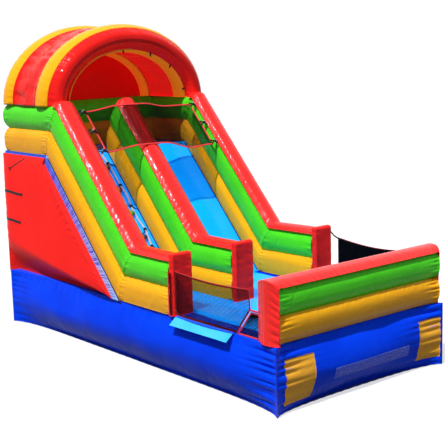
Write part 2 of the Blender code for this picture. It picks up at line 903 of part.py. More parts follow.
def make_rope():
    fibre = material_for("rope_fibre", rope_colour, 0.8)
    lift = lane_sheet_thickness + 2 * seam_gap + rope_diameter / 2
    route = [slope_point(slope_distance(y), lift, x) for x, y in rope_route]
    points = smooth_route(route, rope_step)
    curve = bpy.data.curves.new("climbing_rope", "CURVE")
    curve.dimensions = "3D"
    curve.bevel_depth = rope_diameter / 2
    curve.bevel_resolution = 2
    curve.use_fill_caps = True
    spline = curve.splines.new("POLY")
    spline.points.add(len(points) - 1)
    for point, place in zip(spline.points, points):
        point.co = (*place, 1)
    made = bpy.data.objects.new("climbing_rope", curve)
    made.data.materials.append(fibre)
    bpy.context.collection.objects.link(made)


def smooth_route(route, step):
    """Points along the smooth curve through the route, one about every step."""
    ends = [2 * route[0] - route[1]] + route + [2 * route[-1] - route[-2]]
    found = []
    for a, b, c, d in zip(ends, ends[1:], ends[2:], ends[3:]):
        count = max(1, round((c - b).length / step))
        for i in range(count):
            t = i / count
            pull = (c - a) * t + (2 * a - 5 * b + 4 * c - d) * t**2 + (3 * b - a - 3 * c + d) * t**3
            found.append(b + pull / 2)
    return found + [route[-1]]


def make_holds():
    shades = {
        "climbing_hold_1": material_for("hold_black", hold_black),
        "climbing_hold_2": material_for("hold_red", hold_red),
        "climbing_hold_3": material_for("hold_green", hold_green),
        "climbing_hold_4": material_for("hold_navy", hold_navy),
    }
    foot = lane_sheet_thickness + 2 * seam_gap
    for number, (name, material) in enumerate(shades.items()):
        along = slope_distance(hold_top_y - number * hold_spacing_y)
        outline = []
        for across_sign, along_sign in ((-1, -1), (1, -1), (1, 1), (-1, 1)):
            x = hold_x + across_sign * hold_length / 2
            outline.append(slope_point(along + along_sign * hold_width / 2, foot, x))
        push = slope_point(0, hold_height) - slope_point(0, 0)
        made = prism(name, material, outline, push)
        rounding = made.modifiers.new("rounding", "BEVEL")
        rounding.width = hold_round
        rounding.segments = 3
        rounding.limit_method = "ANGLE"


# Entry flap


def make_flap():
    vinyl = material_for("flap_vinyl", cyan)
    hinge = Vector((-half_width + base_bulge, 0, base_height + seam_gap))
    pivot = add_pivot("entry_flap_pivot", hinge)
    outward = Vector((-math.cos(flap_droop), 0, -math.sin(flap_droop)))
    thick = Vector((-math.sin(flap_droop), 0, math.cos(flap_droop))) * flap_thickness
    near = hinge + outward * seam_gap
    far = hinge + outward * flap_length
    outline = [near, far, far + thick, near + thick]
    outline = [Vector((place.x, flap_front_y, place.z)) for place in outline]
    prism("entry_flap", vinyl, outline, Vector((0, flap_rear_y - flap_front_y, 0)), pivot)


# Rear fittings


def ring_of(centre, first, second, radius, sides):
    places = []
    for side in range(sides):
        angle = 2 * math.pi * side / sides
        places.append(centre + (first * math.cos(angle) + second * math.sin(angle)) * radius)
    return places


def make_sleeve():
    fabric = material_for("sleeve_fabric", blue, 0.5)
    right, up = Vector((1, 0, 0)), Vector((0, 0, 1))
    start_y = half_length + seam_gap
    end_y = start_y + sleeve_length
    cuff_y = end_y - sleeve_cuff
    cuff_radius = sleeve_radius + sleeve_cuff_rise
    bore = sleeve_radius - sleeve_wall
    outer = [
        (start_y, sleeve_radius),
        (cuff_y - sleeve_cuff_rise, sleeve_radius),
        (cuff_y, cuff_radius),
        (end_y, cuff_radius),
    ]
    profile = outer + [(end_y, bore), (start_y, bore)]
    shape = bmesh.new()
    rings = []
    for y, radius in profile:
        centre = Vector((sleeve_x, y, sleeve_height))
        rings.append([shape.verts.new(place) for place in ring_of(centre, right, up, radius, sleeve_sides)])
    bridge(shape, rings, closed=True)
    add_object("blower_sleeve", shape, fabric)


def make_zip():
    tape = material_for("zip_tape", black, 0.7)
    metal = material_for("zip_metal", grey, 0.35, 1.0)
    middle_z = sheet_thickness + seam_gap + (base_height - sheet_thickness - seam_gap) / 2
    y = half_length + seam_gap
    low = (zip_left_x, y, middle_z - zip_tape_width / 2)
    high = (zip_left_x + zip_length, y + zip_tape_thickness, middle_z + zip_tape_width / 2)
    box("deflation_zip_tape", tape, low, high)

    face = y + zip_tape_thickness + seam_gap
    left = zip_left_x + slider_end_gap
    pivot = add_pivot("zip_slider_start", Vector((left, face, middle_z)))
    low = (left, face, middle_z - slider_width / 2)
    high = (left + slider_length, face + slider_thickness, middle_z + slider_width / 2)
    body = box("zip_slider", metal, low, high, pivot)
    pull_y = face + slider_thickness - 2 * slider_pull_thickness
    pull_x = left + slider_length / 4
    low = (pull_x, pull_y, middle_z - slider_pull_length)
    high = (pull_x + slider_length / 2, pull_y + slider_pull_thickness, middle_z)
    join(body, [box("zip_pull", metal, low, high, pivot)])


def make_anchors():
    webbing = material_for("anchor_webbing", black, 0.8)
    steel = material_for("ring_steel", grey, 0.3, 1.0)
    sheet_edge = half_length - base_bulge + seam_gap
    eye_radius = ring_rod / 2 + ring_clearance
    eye_outer = eye_radius + anchor_eye_wall
    bar_y = sheet_edge + anchor_strap_length
    bar_z = eye_outer
    for side, sign in (("left", -1), ("right", 1)):
        x = sign * anchor_x
        low = (x - anchor_strap_width / 2, sheet_edge, bar_z - eye_outer)
        strap_end = bar_y - eye_radius / 2
        high = (x + anchor_strap_width / 2, strap_end, bar_z - eye_outer + anchor_strap_thickness)
        strap = box(f"rear_{side}_anchor_strap", webbing, low, high)
        join(strap, [strap_eye(f"rear_{side}_strap_eye", webbing, x, bar_y, bar_z, eye_radius, eye_outer)])
        make_ring(f"rear_{side}_d_ring", steel, Vector((x, bar_y, bar_z)))


def strap_eye(name, material, x, bar_y, bar_z, inner, outer):
    """The end of the strap, folded round the ring's bar."""
    right = Vector((anchor_strap_width, 0, 0))
    centre = Vector((x - anchor_strap_width / 2, bar_y, bar_z))
    forward, up = Vector((0, 1, 0)), Vector((0, 0, 1))
    shape = bmesh.new()
    rings = []
    for push, radius in ((0, outer), (1, outer), (1, inner), (0, inner)):
        places = ring_of(centre + right * push, forward, up, radius, 2 * rod_sides)
        rings.append([shape.verts.new(place) for place in places])
    bridge(shape, rings, closed=True)
    return add_object(name, shape, material)


def make_ring(name, material, centre):
    """A D-shaped ring: its straight bar lies in the strap's eye and its bow reaches out from it."""
    pivot = add_pivot(f"{name}_pivot", centre)
    half = ring_width / 2
    path = [Vector((-half, 0, 0)), Vector((half, 0, 0))]
    for step in range(ring_steps + 1):
        angle = math.pi * step / ring_steps
        start = ring_rod * 2
        path.append(Vector((half * math.cos(angle), start + (ring_reach - start) * math.sin(angle), 0)))
    shape = bmesh.new()
    rings = []
    up = Vector((0, 0, 1))
    for i, place in enumerate(path):
        before = (place - path[i - 1]).normalized()
        after = (path[(i + 1) % len(path)] - place).normalized()
        along = (before + after).normalized()
        side = along.cross(up).normalized()
        side /= side.dot(before.cross(up))
        places = []
        for step in range(rod_sides):
            angle = 2 * math.pi * (step + 1 / 2) / rod_sides
            places.append(centre + place + (side * math.cos(angle) + up * math.sin(angle)) * ring_rod / 2)
        rings.append([shape.verts.new(found) for found in places])
    bridge(shape, rings, closed=True)
    return add_object(name, shape, material, pivot)


def main():
    for old in list(bpy.data.objects):
        bpy.data.objects.remove(old, do_unlink=True)
    make_base()
    make_beds()
    make_panels()
    make_walls()
    make_deck_rails()
    make_hood()
    make_bumper()
    make_lane_sheets()
    make_top_net()
    make_door_net()
    make_side_net()
    make_rope()
    make_holds()
    make_flap()
    make_sleeve()
    make_zip()
    make_anchors()


main()
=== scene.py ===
import math

import bpy
import numpy as np
from mathutils import Matrix, Vector
from mathutils.bvhtree import BVHTree


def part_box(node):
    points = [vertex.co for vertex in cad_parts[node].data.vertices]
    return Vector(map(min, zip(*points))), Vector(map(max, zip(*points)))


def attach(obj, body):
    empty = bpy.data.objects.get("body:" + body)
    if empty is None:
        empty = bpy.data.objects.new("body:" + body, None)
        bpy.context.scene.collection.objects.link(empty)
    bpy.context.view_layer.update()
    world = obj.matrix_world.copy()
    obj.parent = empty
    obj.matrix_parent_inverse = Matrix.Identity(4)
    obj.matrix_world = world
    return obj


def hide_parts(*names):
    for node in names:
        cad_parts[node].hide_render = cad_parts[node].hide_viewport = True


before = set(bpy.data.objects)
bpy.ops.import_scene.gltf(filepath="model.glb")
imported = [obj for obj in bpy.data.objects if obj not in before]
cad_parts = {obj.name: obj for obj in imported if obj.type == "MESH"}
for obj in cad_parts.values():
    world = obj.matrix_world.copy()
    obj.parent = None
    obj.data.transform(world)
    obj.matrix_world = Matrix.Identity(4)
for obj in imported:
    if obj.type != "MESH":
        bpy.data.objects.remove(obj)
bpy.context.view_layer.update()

# Dresses the inflatable water slide. Metres, +Z up, the same places as the CAD.
scene = bpy.context.scene
made = {}  # every finished piece by its name

# The line that walls, beds and lane sheets follow, and the sizes that several pieces share
lines = {
    "footY": 0.14,
    "deckY": 1.916,
    "frontY": -1.047,
    "rearY": 3.15,
    "baseZ": 0.86,
    "deckZ": 2.783,
    "sideX": 1.3105,
    "centreX": -0.2285,
    "outerX": 1.495,
    "lean": 0.07,
    "gap": 0.0003,
}
wallTube = {"width": 0.369, "height": 0.364, "slopeSeam": 0.305, "bulge": 0.062}
slopeAngle = math.atan2(lines["deckZ"] - lines["baseZ"], lines["deckY"] - lines["footY"])
railTop = lines["deckZ"] + 2 * wallTube["height"]


# Camera, light and floor


def makeStage():
    view = {"place": (-9.6136, -11.9919, 4.4363), "yaw": 39.654, "pitch": 9.791, "roll": -1.541,
            "sensor": 36, "lens": 86.142}
    camera = bpy.data.objects.new("camera", bpy.data.cameras.new("camera"))
    scene.collection.objects.link(camera)
    camera.data.sensor_width = view["sensor"]
    camera.data.lens = view["lens"]
    camera.data.clip_end = 200
    turn = Matrix.Rotation(math.radians(-view["yaw"]), 4, "Z")
    tip = Matrix.Rotation(math.radians(90 - view["pitch"]), 4, "X")
    roll = Matrix.Rotation(math.radians(view["roll"]), 4, "Z")
    camera.matrix_world = Matrix.Translation(view["place"]) @ turn @ tip @ roll
    scene.camera = camera

    lamp = {"strength": 3.8, "softness": 1.2, "across": 0.53, "along": 0.18, "horizon": 0.09, "zenith": 0.82,
            "sky": (0.76, 0.88, 1, 1)}
    sun = bpy.data.objects.new("key", bpy.data.lights.new("key", "SUN"))
    scene.collection.objects.link(sun)
    sun.data.energy = lamp["strength"]
    sun.data.angle = math.radians(lamp["softness"])
    travel = Vector((lamp["across"], lamp["along"], -1)).normalized()
    sun.rotation_mode = "QUATERNION"
    sun.rotation_quaternion = travel.to_track_quat("-Z", "Y")

    world = bpy.data.worlds.new("studio")
    scene.world = world
    world.use_nodes = True
    tree = world.node_tree
    tree.nodes.clear()
    # Open sky: more light from overhead than from the horizon
    way = addNode(tree, "ShaderNodeTexCoord")
    parts = addNode(tree, "ShaderNodeSeparateXYZ", links={0: way.outputs["Generated"]})
    level = addNode(tree, "ShaderNodeMapRange", {3: lamp["horizon"], 4: lamp["zenith"]},
                    {0: parts.outputs[2]})
    fill = addNode(tree, "ShaderNodeBackground", {"Color": lamp["sky"]}, {"Strength": level.outputs[0]})
    white = addNode(tree, "ShaderNodeBackground", {"Color": (1, 1, 1, 1), "Strength": 1.0})
    mix = addNode(tree, "ShaderNodeMixShader", links={
        0: seenRays(tree), 1: fill.outputs[0], 2: white.outputs[0]})
    addNode(tree, "ShaderNodeOutputWorld", links={"Surface": mix.outputs[0]})

    reach = 60
    corners = [(-reach, -reach, 0), (reach, -reach, 0), (reach, reach, 0), (-reach, reach, 0)]
    mesh = bpy.data.meshes.new("floor")
    mesh.from_pydata(corners, [], [(0, 1, 2, 3)])
    floor = bpy.data.objects.new("floor", mesh)
    scene.collection.objects.link(floor)
    mesh.materials.append(paleFloor())
    scene.view_settings.view_transform = "Standard"


# Materials


# The linear colour of an sRGB hex value
def colour(code):
    channels = [int(code[i:i + 2], 16) / 255 for i in (1, 3, 5)]
    return tuple(c / 12.92 if c <= 0.04045 else ((c + 0.055) / 1.055) ** 2.4 for c in channels) + (1,)


# How many times a pattern of a size in millimetres fits in a metre, which is the scale of a noise
def perMetre(size):
    return 1000 / size


def addNode(tree, kind, values=None, links=None, **settings):
    node = tree.nodes.new(kind)
    for key, value in settings.items():
        setattr(node, key, value)
    for key, value in (values or {}).items():
        node.inputs[key].default_value = value
    return linkInputs(tree, node, links or {})


def linkInputs(tree, node, links):
    for key, source in links.items():
        tree.links.new(source, node.inputs[key])
    return node


def newMaterial(name, **shaderValues):
    material = bpy.data.materials.new(name)
    material.use_nodes = True
    tree = material.node_tree
    tree.nodes.clear()
    shader = addNode(tree, "ShaderNodeBsdfPrincipled", shaderValues)
    addNode(tree, "ShaderNodeOutputMaterial", links={"Surface": shader.outputs[0]})
    spot = addNode(tree, "ShaderNodeTexCoord").outputs["Object"]
    return material, tree, shader, spot


# 1 for rays that show the background: straight from the camera, mirrored or through glass
def seenRays(tree):
    ray = addNode(tree, "ShaderNodeLightPath")
    mirrored = addNode(tree, "ShaderNodeMath", operation="MAXIMUM", links={
        0: ray.outputs["Is Glossy Ray"], 1: ray.outputs["Is Transmission Ray"]})
    seen = addNode(tree, "ShaderNodeMath", operation="MAXIMUM", links={
        0: ray.outputs["Is Camera Ray"], 1: mirrored.outputs[0]})
    return seen.outputs[0]


# Painted studio floor: smooth, matt and nearly white, with the shadow on it kept faint.
# The two colours of a Mix node are its sockets 6 and 7 and its result is 2, here and below
def paleFloor():
    paint = {"grain": 666.7, "glow": 0.62}
    material, tree, shader, spot = newMaterial("paleFloor", Roughness=0.9)
    grain = addNode(tree, "ShaderNodeTexNoise", {"Scale": perMetre(paint["grain"]), "Detail": 3},
                    {"Vector": spot})
    pale = addNode(tree, "ShaderNodeMix", {6: colour("#EDEDED"), 7: colour("#F0F0F0")},
                   {0: grain.outputs["Fac"]}, data_type="RGBA")
    shade = addNode(tree, "ShaderNodeMix", {6: colour("#4C4C4C")}, {0: seenRays(tree), 7: pale.outputs[2]},
                    data_type="RGBA")
    linkInputs(tree, shader, {"Base Color": shade.outputs[2]})
    glow = addNode(tree, "ShaderNodeEmission", {"Color": (1, 1, 1, 1), "Strength": 1.0})
    part = addNode(tree, "ShaderNodeMath", {1: paint["glow"]}, {0: seenRays(tree)}, operation="MULTIPLY")
    both = addNode(tree, "ShaderNodeMixShader", links={
        0: part.outputs[0], 1: shader.outputs[0], 2: glow.outputs[0]})
    out = next(node for node in tree.nodes if node.type == "OUTPUT_MATERIAL")
    linkInputs(tree, out, {"Surface": both.outputs[0]})
    return material


# PVC-coated polyester, calendered glossy: shallow creases, pulled threads at the seams, faint scuffs.
# Sizes in millimetres. The weave is about 1 mm in the real cloth and coarser here, so that it shows
def coatedVinyl(name, main, worn, roughness=0.27, crease=0.5, glowShare=0.0, shine=0.1, through=None):
    cloth = {"cloud": 588.2, "scuff": 71.43, "pulledApart": 23.81, "pulledLong": 200, "crease": 200,
             "weave": 3.846, "seamDust": 0.35}
    own = colour(main)
    tint = tuple(0.12 + 0.88 * channel / max(own[:3]) for channel in own[:3]) + (1,)
    material, tree, shader, spot = newMaterial(name, **{
        "IOR": 1.53, "Coat Weight": shine / 2, "Coat Roughness": 0.07, "Specular IOR Level": shine,
        "Specular Tint": tint, "Emission Color": colour(through or main)})
    cloud = addNode(tree, "ShaderNodeTexNoise", {
        "Scale": perMetre(cloth["cloud"]), "Detail": 4, "Roughness": 0.6}, {"Vector": spot})
    scuff = addNode(tree, "ShaderNodeTexNoise", {
        "Scale": perMetre(cloth["scuff"]), "Detail": 6, "Roughness": 0.7}, {"Vector": spot})
    patches = addNode(tree, "ShaderNodeMapRange", {1: 0.42, 2: 0.75}, {0: cloud.outputs["Fac"]})
    near = addNode(tree, "ShaderNodeAttribute", attribute_name="seamNear")
    dust = addNode(tree, "ShaderNodeMath", {1: cloth["seamDust"]}, {0: near.outputs["Fac"]},
                   operation="MULTIPLY")
    share = addNode(tree, "ShaderNodeMath", links={0: patches.outputs[0], 1: dust.outputs[0]},
                    operation="MAXIMUM")
    shade = addNode(tree, "ShaderNodeMix", {6: own, 7: colour(worn)}, {0: share.outputs[0]},
                    data_type="RGBA")
    gloss = addNode(tree, "ShaderNodeMapRange", {1: 0.3, 2: 0.7, 3: roughness - 0.05, 4: roughness + 0.1},
                    {0: scuff.outputs["Fac"]})
    # Pulled threads run square to a seam, so their pattern follows the surface: U along, V across
    surface = addNode(tree, "ShaderNodeTexCoord")
    stretch = addNode(tree, "ShaderNodeMapping", {
        "Scale": (perMetre(cloth["pulledApart"]), perMetre(cloth["pulledLong"]), 1)},
        {"Vector": surface.outputs["UV"]})
    threads = addNode(tree, "ShaderNodeTexNoise", {"Scale": 1, "Detail": 2}, {"Vector": stretch.outputs[0]})
    pulled = addNode(tree, "ShaderNodeMath", links={0: threads.outputs["Fac"], 1: near.outputs["Fac"]},
                     operation="MULTIPLY")
    creases = addNode(tree, "ShaderNodeTexNoise", {
        "Scale": perMetre(cloth["crease"]), "Detail": 3, "Distortion": 1.1}, {"Vector": spot})
    weave = addNode(tree, "ShaderNodeTexNoise", {"Scale": perMetre(cloth["weave"]), "Detail": 1},
                    {"Vector": spot})
    first = addNode(tree, "ShaderNodeBump", {"Strength": crease, "Distance": 0.012},
                    {"Height": creases.outputs["Fac"]})
    second = addNode(tree, "ShaderNodeBump", {"Strength": 0.9, "Distance": 0.010},
                     {"Height": pulled.outputs[0], "Normal": first.outputs[0]})
    third = addNode(tree, "ShaderNodeBump", {"Strength": 0.06, "Distance": 0.0006},
                    {"Height": weave.outputs["Fac"], "Normal": second.outputs[0]})
    # Painted glow: an emission set by a vertex attribute, which stands in for sunlight through the thin
    # vinyl
    glowMask = addNode(tree, "ShaderNodeAttribute", attribute_name="paintedGlow")
    glow = addNode(tree, "ShaderNodeMath", {1: glowShare}, {0: glowMask.outputs["Fac"]}, operation="MULTIPLY")
    linkInputs(tree, shader, {
        "Base Color": shade.outputs[2], "Roughness": gloss.outputs[0], "Normal": third.outputs[0],
        "Coat Normal": third.outputs[0], "Emission Strength": glow.outputs[0]})
    return material


# Woven polyester: matt, with crossing threads. They are about 1 mm wide in the real cloth and
# 15 mm here, so that they show
def wovenCloth(name, main, dark, roughness=0.8, sheen=0.12):
    cloth = {"thread": 14.96, "cloud": 111.1, "lift": 0.4, "depth": 0.0015}
    material, tree, shader, spot = newMaterial(name, **{
        "Sheen Weight": sheen, "Roughness": roughness, "Specular IOR Level": sheen})
    heights = []
    for direction in ("X", "Y", "Z"):
        # A wave's bands are a tenth of pi apart at scale 1
        heights.append(addNode(tree, "ShaderNodeTexWave", {
            "Scale": math.pi / 10 * perMetre(cloth["thread"]), "Distortion": 0.4}, {"Vector": spot},
            bands_direction=direction).outputs["Fac"])
    pair = addNode(tree, "ShaderNodeMath", links={0: heights[0], 1: heights[1]}, operation="MULTIPLY")
    cross = addNode(tree, "ShaderNodeMath", links={0: pair.outputs[0], 1: heights[2]}, operation="MAXIMUM")
    cloud = addNode(tree, "ShaderNodeTexNoise", {"Scale": perMetre(cloth["cloud"]), "Detail": 4},
                    {"Vector": spot})
    share = addNode(tree, "ShaderNodeMath", links={0: cross.outputs[0], 1: cloud.outputs["Fac"]},
                    operation="MULTIPLY")
    shade = addNode(tree, "ShaderNodeMix", {6: colour(main), 7: colour(dark)}, {0: share.outputs[0]},
                    data_type="RGBA")
    bump = addNode(tree, "ShaderNodeBump", {"Strength": cloth["lift"], "Distance": cloth["depth"]},
                   {"Height": cross.outputs[0]})
    linkInputs(tree, shader, {"Base Color": shade.outputs[2], "Normal": bump.outputs[0]})
    return material


# Rotation-moulded polyethylene: satin with a fine grain and rubbed high spots
def mouldedPlastic(name, main, light, roughness=0.45):
    grip = {"grain": 4.167, "rubbed": 45.45}
    material, tree, shader, spot = newMaterial(name, **{"IOR": 1.5})
    grain = addNode(tree, "ShaderNodeTexNoise", {"Scale": perMetre(grip["grain"]), "Detail": 3},
                    {"Vector": spot})
    cloud = addNode(tree, "ShaderNodeTexNoise", {"Scale": perMetre(grip["rubbed"]), "Detail": 4},
                    {"Vector": spot})
    shade = addNode(tree, "ShaderNodeMix", {6: colour(main), 7: colour(light)}, {0: cloud.outputs["Fac"]},
                    data_type="RGBA")
    gloss = addNode(tree, "ShaderNodeMapRange", {3: roughness - 0.08, 4: roughness + 0.12},
                    {0: cloud.outputs["Fac"]})
    bump = addNode(tree, "ShaderNodeBump", {"Strength": 0.3, "Distance": 0.0008},
                   {"Height": grain.outputs["Fac"]})
    linkInputs(tree, shader, {
        "Base Color": shade.outputs[2], "Roughness": gloss.outputs[0], "Normal": bump.outputs[0]})
    return material


# Zinc-plated steel wire and die-cast zinc: bright, with fine draw marks
def platedSteel(name):
    wire = {"markLong": 16.67, "markApart": 1.111, "spot": 14.29}
    material, tree, shader, spot = newMaterial(name, **{"Metallic": 1.0})
    apart = perMetre(wire["markApart"])
    stretch = addNode(tree, "ShaderNodeMapping", {"Scale": (perMetre(wire["markLong"]), apart, apart)},
                      {"Vector": spot})
    marks = addNode(tree, "ShaderNodeTexNoise", {"Scale": 1, "Detail": 3}, {"Vector": stretch.outputs[0]})
    spots = addNode(tree, "ShaderNodeTexNoise", {"Scale": perMetre(wire["spot"]), "Detail": 5},
                    {"Vector": spot})
    shade = addNode(tree, "ShaderNodeMix", {6: colour("#C9CCCF"), 7: colour("#9EA2A6")},
                    {0: spots.outputs["Fac"]}, data_type="RGBA")
    gloss = addNode(tree, "ShaderNodeMapRange", {3: 0.24, 4: 0.42}, {0: marks.outputs["Fac"]})
    linkInputs(tree, shader, {"Base Color": shade.outputs[2], "Roughness": gloss.outputs[0]})
    return material


# Light vinyl drawn up on elastic: pale crests, with blue between them by how deep each gather is,
# which is painted shade. Higher up the slope the crests are bluer, which is painted shade too
def gatheredVinyl(name):
    strip = {"cloud": 90.91, "shadeStartsAt": 1.1, "shadeFullAt": 2.7}
    material, tree, shader, spot = newMaterial(name, **{"IOR": 1.53, "Specular IOR Level": 0.35})
    near = addNode(tree, "ShaderNodeAttribute", attribute_name="seamNear")
    cloud = addNode(tree, "ShaderNodeTexNoise", {"Scale": perMetre(strip["cloud"]), "Detail": 4},
                    {"Vector": spot})
    share = addNode(tree, "ShaderNodeMapRange", {1: 0.05, 2: 0.55}, {0: near.outputs["Fac"]})
    height = addNode(tree, "ShaderNodeSeparateXYZ", links={0: spot})
    # Painted shade: bluer higher up the slope
    upper = addNode(tree, "ShaderNodeMapRange", {1: strip["shadeStartsAt"], 2: strip["shadeFullAt"]},
                    {0: height.outputs[2]})
    pale = addNode(tree, "ShaderNodeMix", {6: colour("#8FB4FF"), 7: colour("#BDD4FF")},
                   {0: cloud.outputs["Fac"]}, data_type="RGBA")
    crest = addNode(tree, "ShaderNodeMix", {7: colour("#3E74FA")}, {0: upper.outputs[0], 6: pale.outputs[2]},
                    data_type="RGBA")
    # Painted shade: bluer where the gather is deeper
    shade = addNode(tree, "ShaderNodeMix", {7: colour("#1450E6")},
                    {0: share.outputs[0], 6: crest.outputs[2]}, data_type="RGBA")
    gloss = addNode(tree, "ShaderNodeMapRange", {3: 0.25, 4: 0.4}, {0: cloud.outputs["Fac"]})
    bump = addNode(tree, "ShaderNodeBump", {"Strength": 0.4, "Distance": 0.004},
                   {"Height": cloud.outputs["Fac"]})
    linkInputs(tree, shader, {
        "Base Color": shade.outputs[2], "Roughness": gloss.outputs[0], "Normal": bump.outputs[0]})
    return material


# Slick wet lane vinyl: smooth and bright, with slow ripples over the webs below it
def laneVinyl(name):
    lane = {"cloud": 333.3, "ripple": 142.9}
    # Painted glow: the sheet glows blue all over, which keeps it bright and blue in the top net's shadow
    material, tree, shader, spot = newMaterial(name, **{
        "IOR": 1.53, "Coat Weight": 0.12, "Coat Roughness": 0.06, "Specular IOR Level": 0.15,
        "Emission Color": colour("#0026B2"), "Emission Strength": 0.9})  # blue light inside the thin sheet
    cloud = addNode(tree, "ShaderNodeTexNoise", {"Scale": perMetre(lane["cloud"]), "Detail": 4},
                    {"Vector": spot})
    shade = addNode(tree, "ShaderNodeMix", {6: colour("#0AB6FF"), 7: colour("#06A6FF")},
                    {0: cloud.outputs["Fac"]}, data_type="RGBA")
    gloss = addNode(tree, "ShaderNodeMapRange", {3: 0.14, 4: 0.3}, {0: cloud.outputs["Fac"]})
    ripple = addNode(tree, "ShaderNodeTexNoise", {
        "Scale": perMetre(lane["ripple"]), "Detail": 3, "Distortion": 0.8}, {"Vector": spot})
    bump = addNode(tree, "ShaderNodeBump", {"Strength": 0.5, "Distance": 0.012},
                   {"Height": ripple.outputs["Fac"]})
    linkInputs(tree, shader, {
        "Base Color": shade.outputs[2], "Roughness": gloss.outputs[0], "Normal": bump.outputs[0],
        "Coat Normal": bump.outputs[0]})
    return material


# Clear PVC film, calendered, as a pocket for papers: nearly see-through, with soft streaks
def clearVinyl(name):
    material, tree, shader, spot = newMaterial(name, **{"IOR": 1.53, "Alpha": 0.07, "Coat Weight": 0.3})
    film = {"streak": 111.1}
    streak = addNode(tree, "ShaderNodeTexNoise", {"Scale": perMetre(film["streak"]), "Detail": 3},
                     {"Vector": spot})
    shade = addNode(tree, "ShaderNodeMix", {6: colour("#C6D6F2"), 7: colour("#FFFFFF")},
                    {0: streak.outputs["Fac"]}, data_type="RGBA")
    gloss = addNode(tree, "ShaderNodeMapRange", {3: 0.08, 4: 0.25}, {0: streak.outputs["Fac"]})
    linkInputs(tree, shader, {"Base Color": shade.outputs[2], "Roughness": gloss.outputs[0]})
    return material


finish = {
    "red": coatedVinyl("redVinyl", "#FF2A26", "#F82420", shine=0.06),
    "capRed": coatedVinyl("capRedVinyl", "#FF2A26", "#F62320", 0.3, 0.6, shine=0.35),
    # Painted glow: the side panels glow a little, less where they sag in
    "panelRed": coatedVinyl("panelRedVinyl", "#FF2A26", "#F82420", 0.3, 0.35, 0.2, shine=0.01),
    # Painted glow: the hood's red ring and roof glow on their inner faces, and its back wall glows all over
    "hoodRed": coatedVinyl("hoodRedVinyl", "#F2211D", "#E01A18", 0.3, 0.5, 0.2),
    "redDark": coatedVinyl("backWallVinyl", "#DE120E", "#CC100E", 0.35, 0.5, 0.24, shine=0.04),
    "roof": coatedVinyl("roofVinyl", "#F0201C", "#E01A17", 0.18, 0.9, 0.45),
    "green": coatedVinyl("greenVinyl", "#56E628", "#4AD822"),
    "yellow": coatedVinyl("yellowVinyl", "#FFB41C", "#FAA818"),
    # Painted glow: the yellow arches glow orange on their inner faces
    "hoodYellow": coatedVinyl("hoodYellowVinyl", "#FFB21C", "#FAA618", 0.27, 0.5, 0.38, through="#F06A1E"),
    "blue": coatedVinyl("baseBlueVinyl", "#0646FF", "#053CEE", 0.3, shine=0.025),
    # Painted glow: the landing bed's top glows blue, which keeps it bright under the door net
    "bed": coatedVinyl("landingBlueVinyl", "#12A6FF", "#109CFA", 0.2, glowShare=0.8, through="#0070FF"),
    "flap": coatedVinyl("paleBlueVinyl", "#35B4F4", "#4FC2F8", 0.25),
    "orange": coatedVinyl("orangePiping", "#F2A23A", "#E2902C", 0.3),
    "patch": coatedVinyl("barePatchVinyl", "#F8B23A", "#F0A62E", 0.5),
    "edge": coatedVinyl("edgeBlueVinyl", "#1B56E8", "#2360E6", 0.28),
    "weld": coatedVinyl("clearFilmWeld", "#4E6FE6", "#6C88EA", 0.3),
    # Navy tape, which also stands for the shade in the creases beside the walls
    "navy": coatedVinyl("navyTapeAndCreaseShade", "#04245E", "#062B6B", 0.35, 0.2),
    "gathered": gatheredVinyl("gatheredBlueVinyl"),
    "lane": laneVinyl("laneVinyl"),
    "clear": clearVinyl("clearVinyl"),
    "net": wovenCloth("nettingBlack", "#08090B", "#131418", 0.9, sheen=0),
    "binding": wovenCloth("bindingRed", "#F03A3C", "#D92A2C", 0.55),
    "strap": wovenCloth("webbingBlack", "#0E0F12", "#202329", 0.75),
    "web": wovenCloth("baffleCloth", "#C6C9CE", "#AEB2B8", 0.7),
    "sleeve": wovenCloth("sleeveNylon", "#0A2E9E", "#082585", 0.55),
    "sheet": wovenCloth("groundSheetVinyl", "#0A2A8C", "#081F6B", 0.6),
    "thread": wovenCloth("whiteThread", "#E9E9E6", "#CFCFCB", 0.7),
    "rope": wovenCloth("ropeFibre", "#F2C8C0", "#C4908A", 0.85),
    "steel": platedSteel("platedSteel"),
    "holdBlack": mouldedPlastic("holdBlack", "#131318", "#24242B"),
    "holdRed": mouldedPlastic("holdRed", "#8E1D12", "#A52A1C"),
    "holdGreen": mouldedPlastic("holdGreen", "#2E8A1C", "#3BA226"),
    "holdNavy": mouldedPlastic("holdNavy", "#0B1A4A", "#14265E"),
}


# Meshes from numbers


# A finished mesh that rides on a body. Faces of a closed mesh are turned to point outwards
def addPiece(name, points, faces, material, body="slide", uv=None, near=None, glowShare=None, closed=True):
    points = np.asarray(points, float).reshape(-1, 3)
    mesh = bpy.data.meshes.new(name)
    mesh.from_pydata(points.tolist(), [], [list(map(int, face)) for face in faces])
    if closed and signedVolume(mesh) < 0:
        mesh.flip_normals()
    if uv is not None:
        layer = mesh.uv_layers.new(name="surface")
        corner = np.zeros(len(mesh.loops), np.int32)
        mesh.loops.foreach_get("vertex_index", corner)
        layer.data.foreach_set("uv", np.asarray(uv, np.float32).reshape(-1, 2)[corner].ravel())
    for title, values in (("seamNear", near), ("paintedGlow", glowShare)):
        if values is not None:
            attribute = mesh.attributes.new(title, "FLOAT", "POINT")
            attribute.data.foreach_set("value", np.asarray(values, np.float32).ravel())
    mesh.materials.append(material)
    mesh.shade_smooth()
    return linkPiece(name, mesh, body)


# A piece of the scene that moves with a body
def linkPiece(name, mesh, body):
    piece = bpy.data.objects.new(name, mesh)
    scene.collection.objects.link(piece)
    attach(piece, body)
    made[name] = piece
    return piece


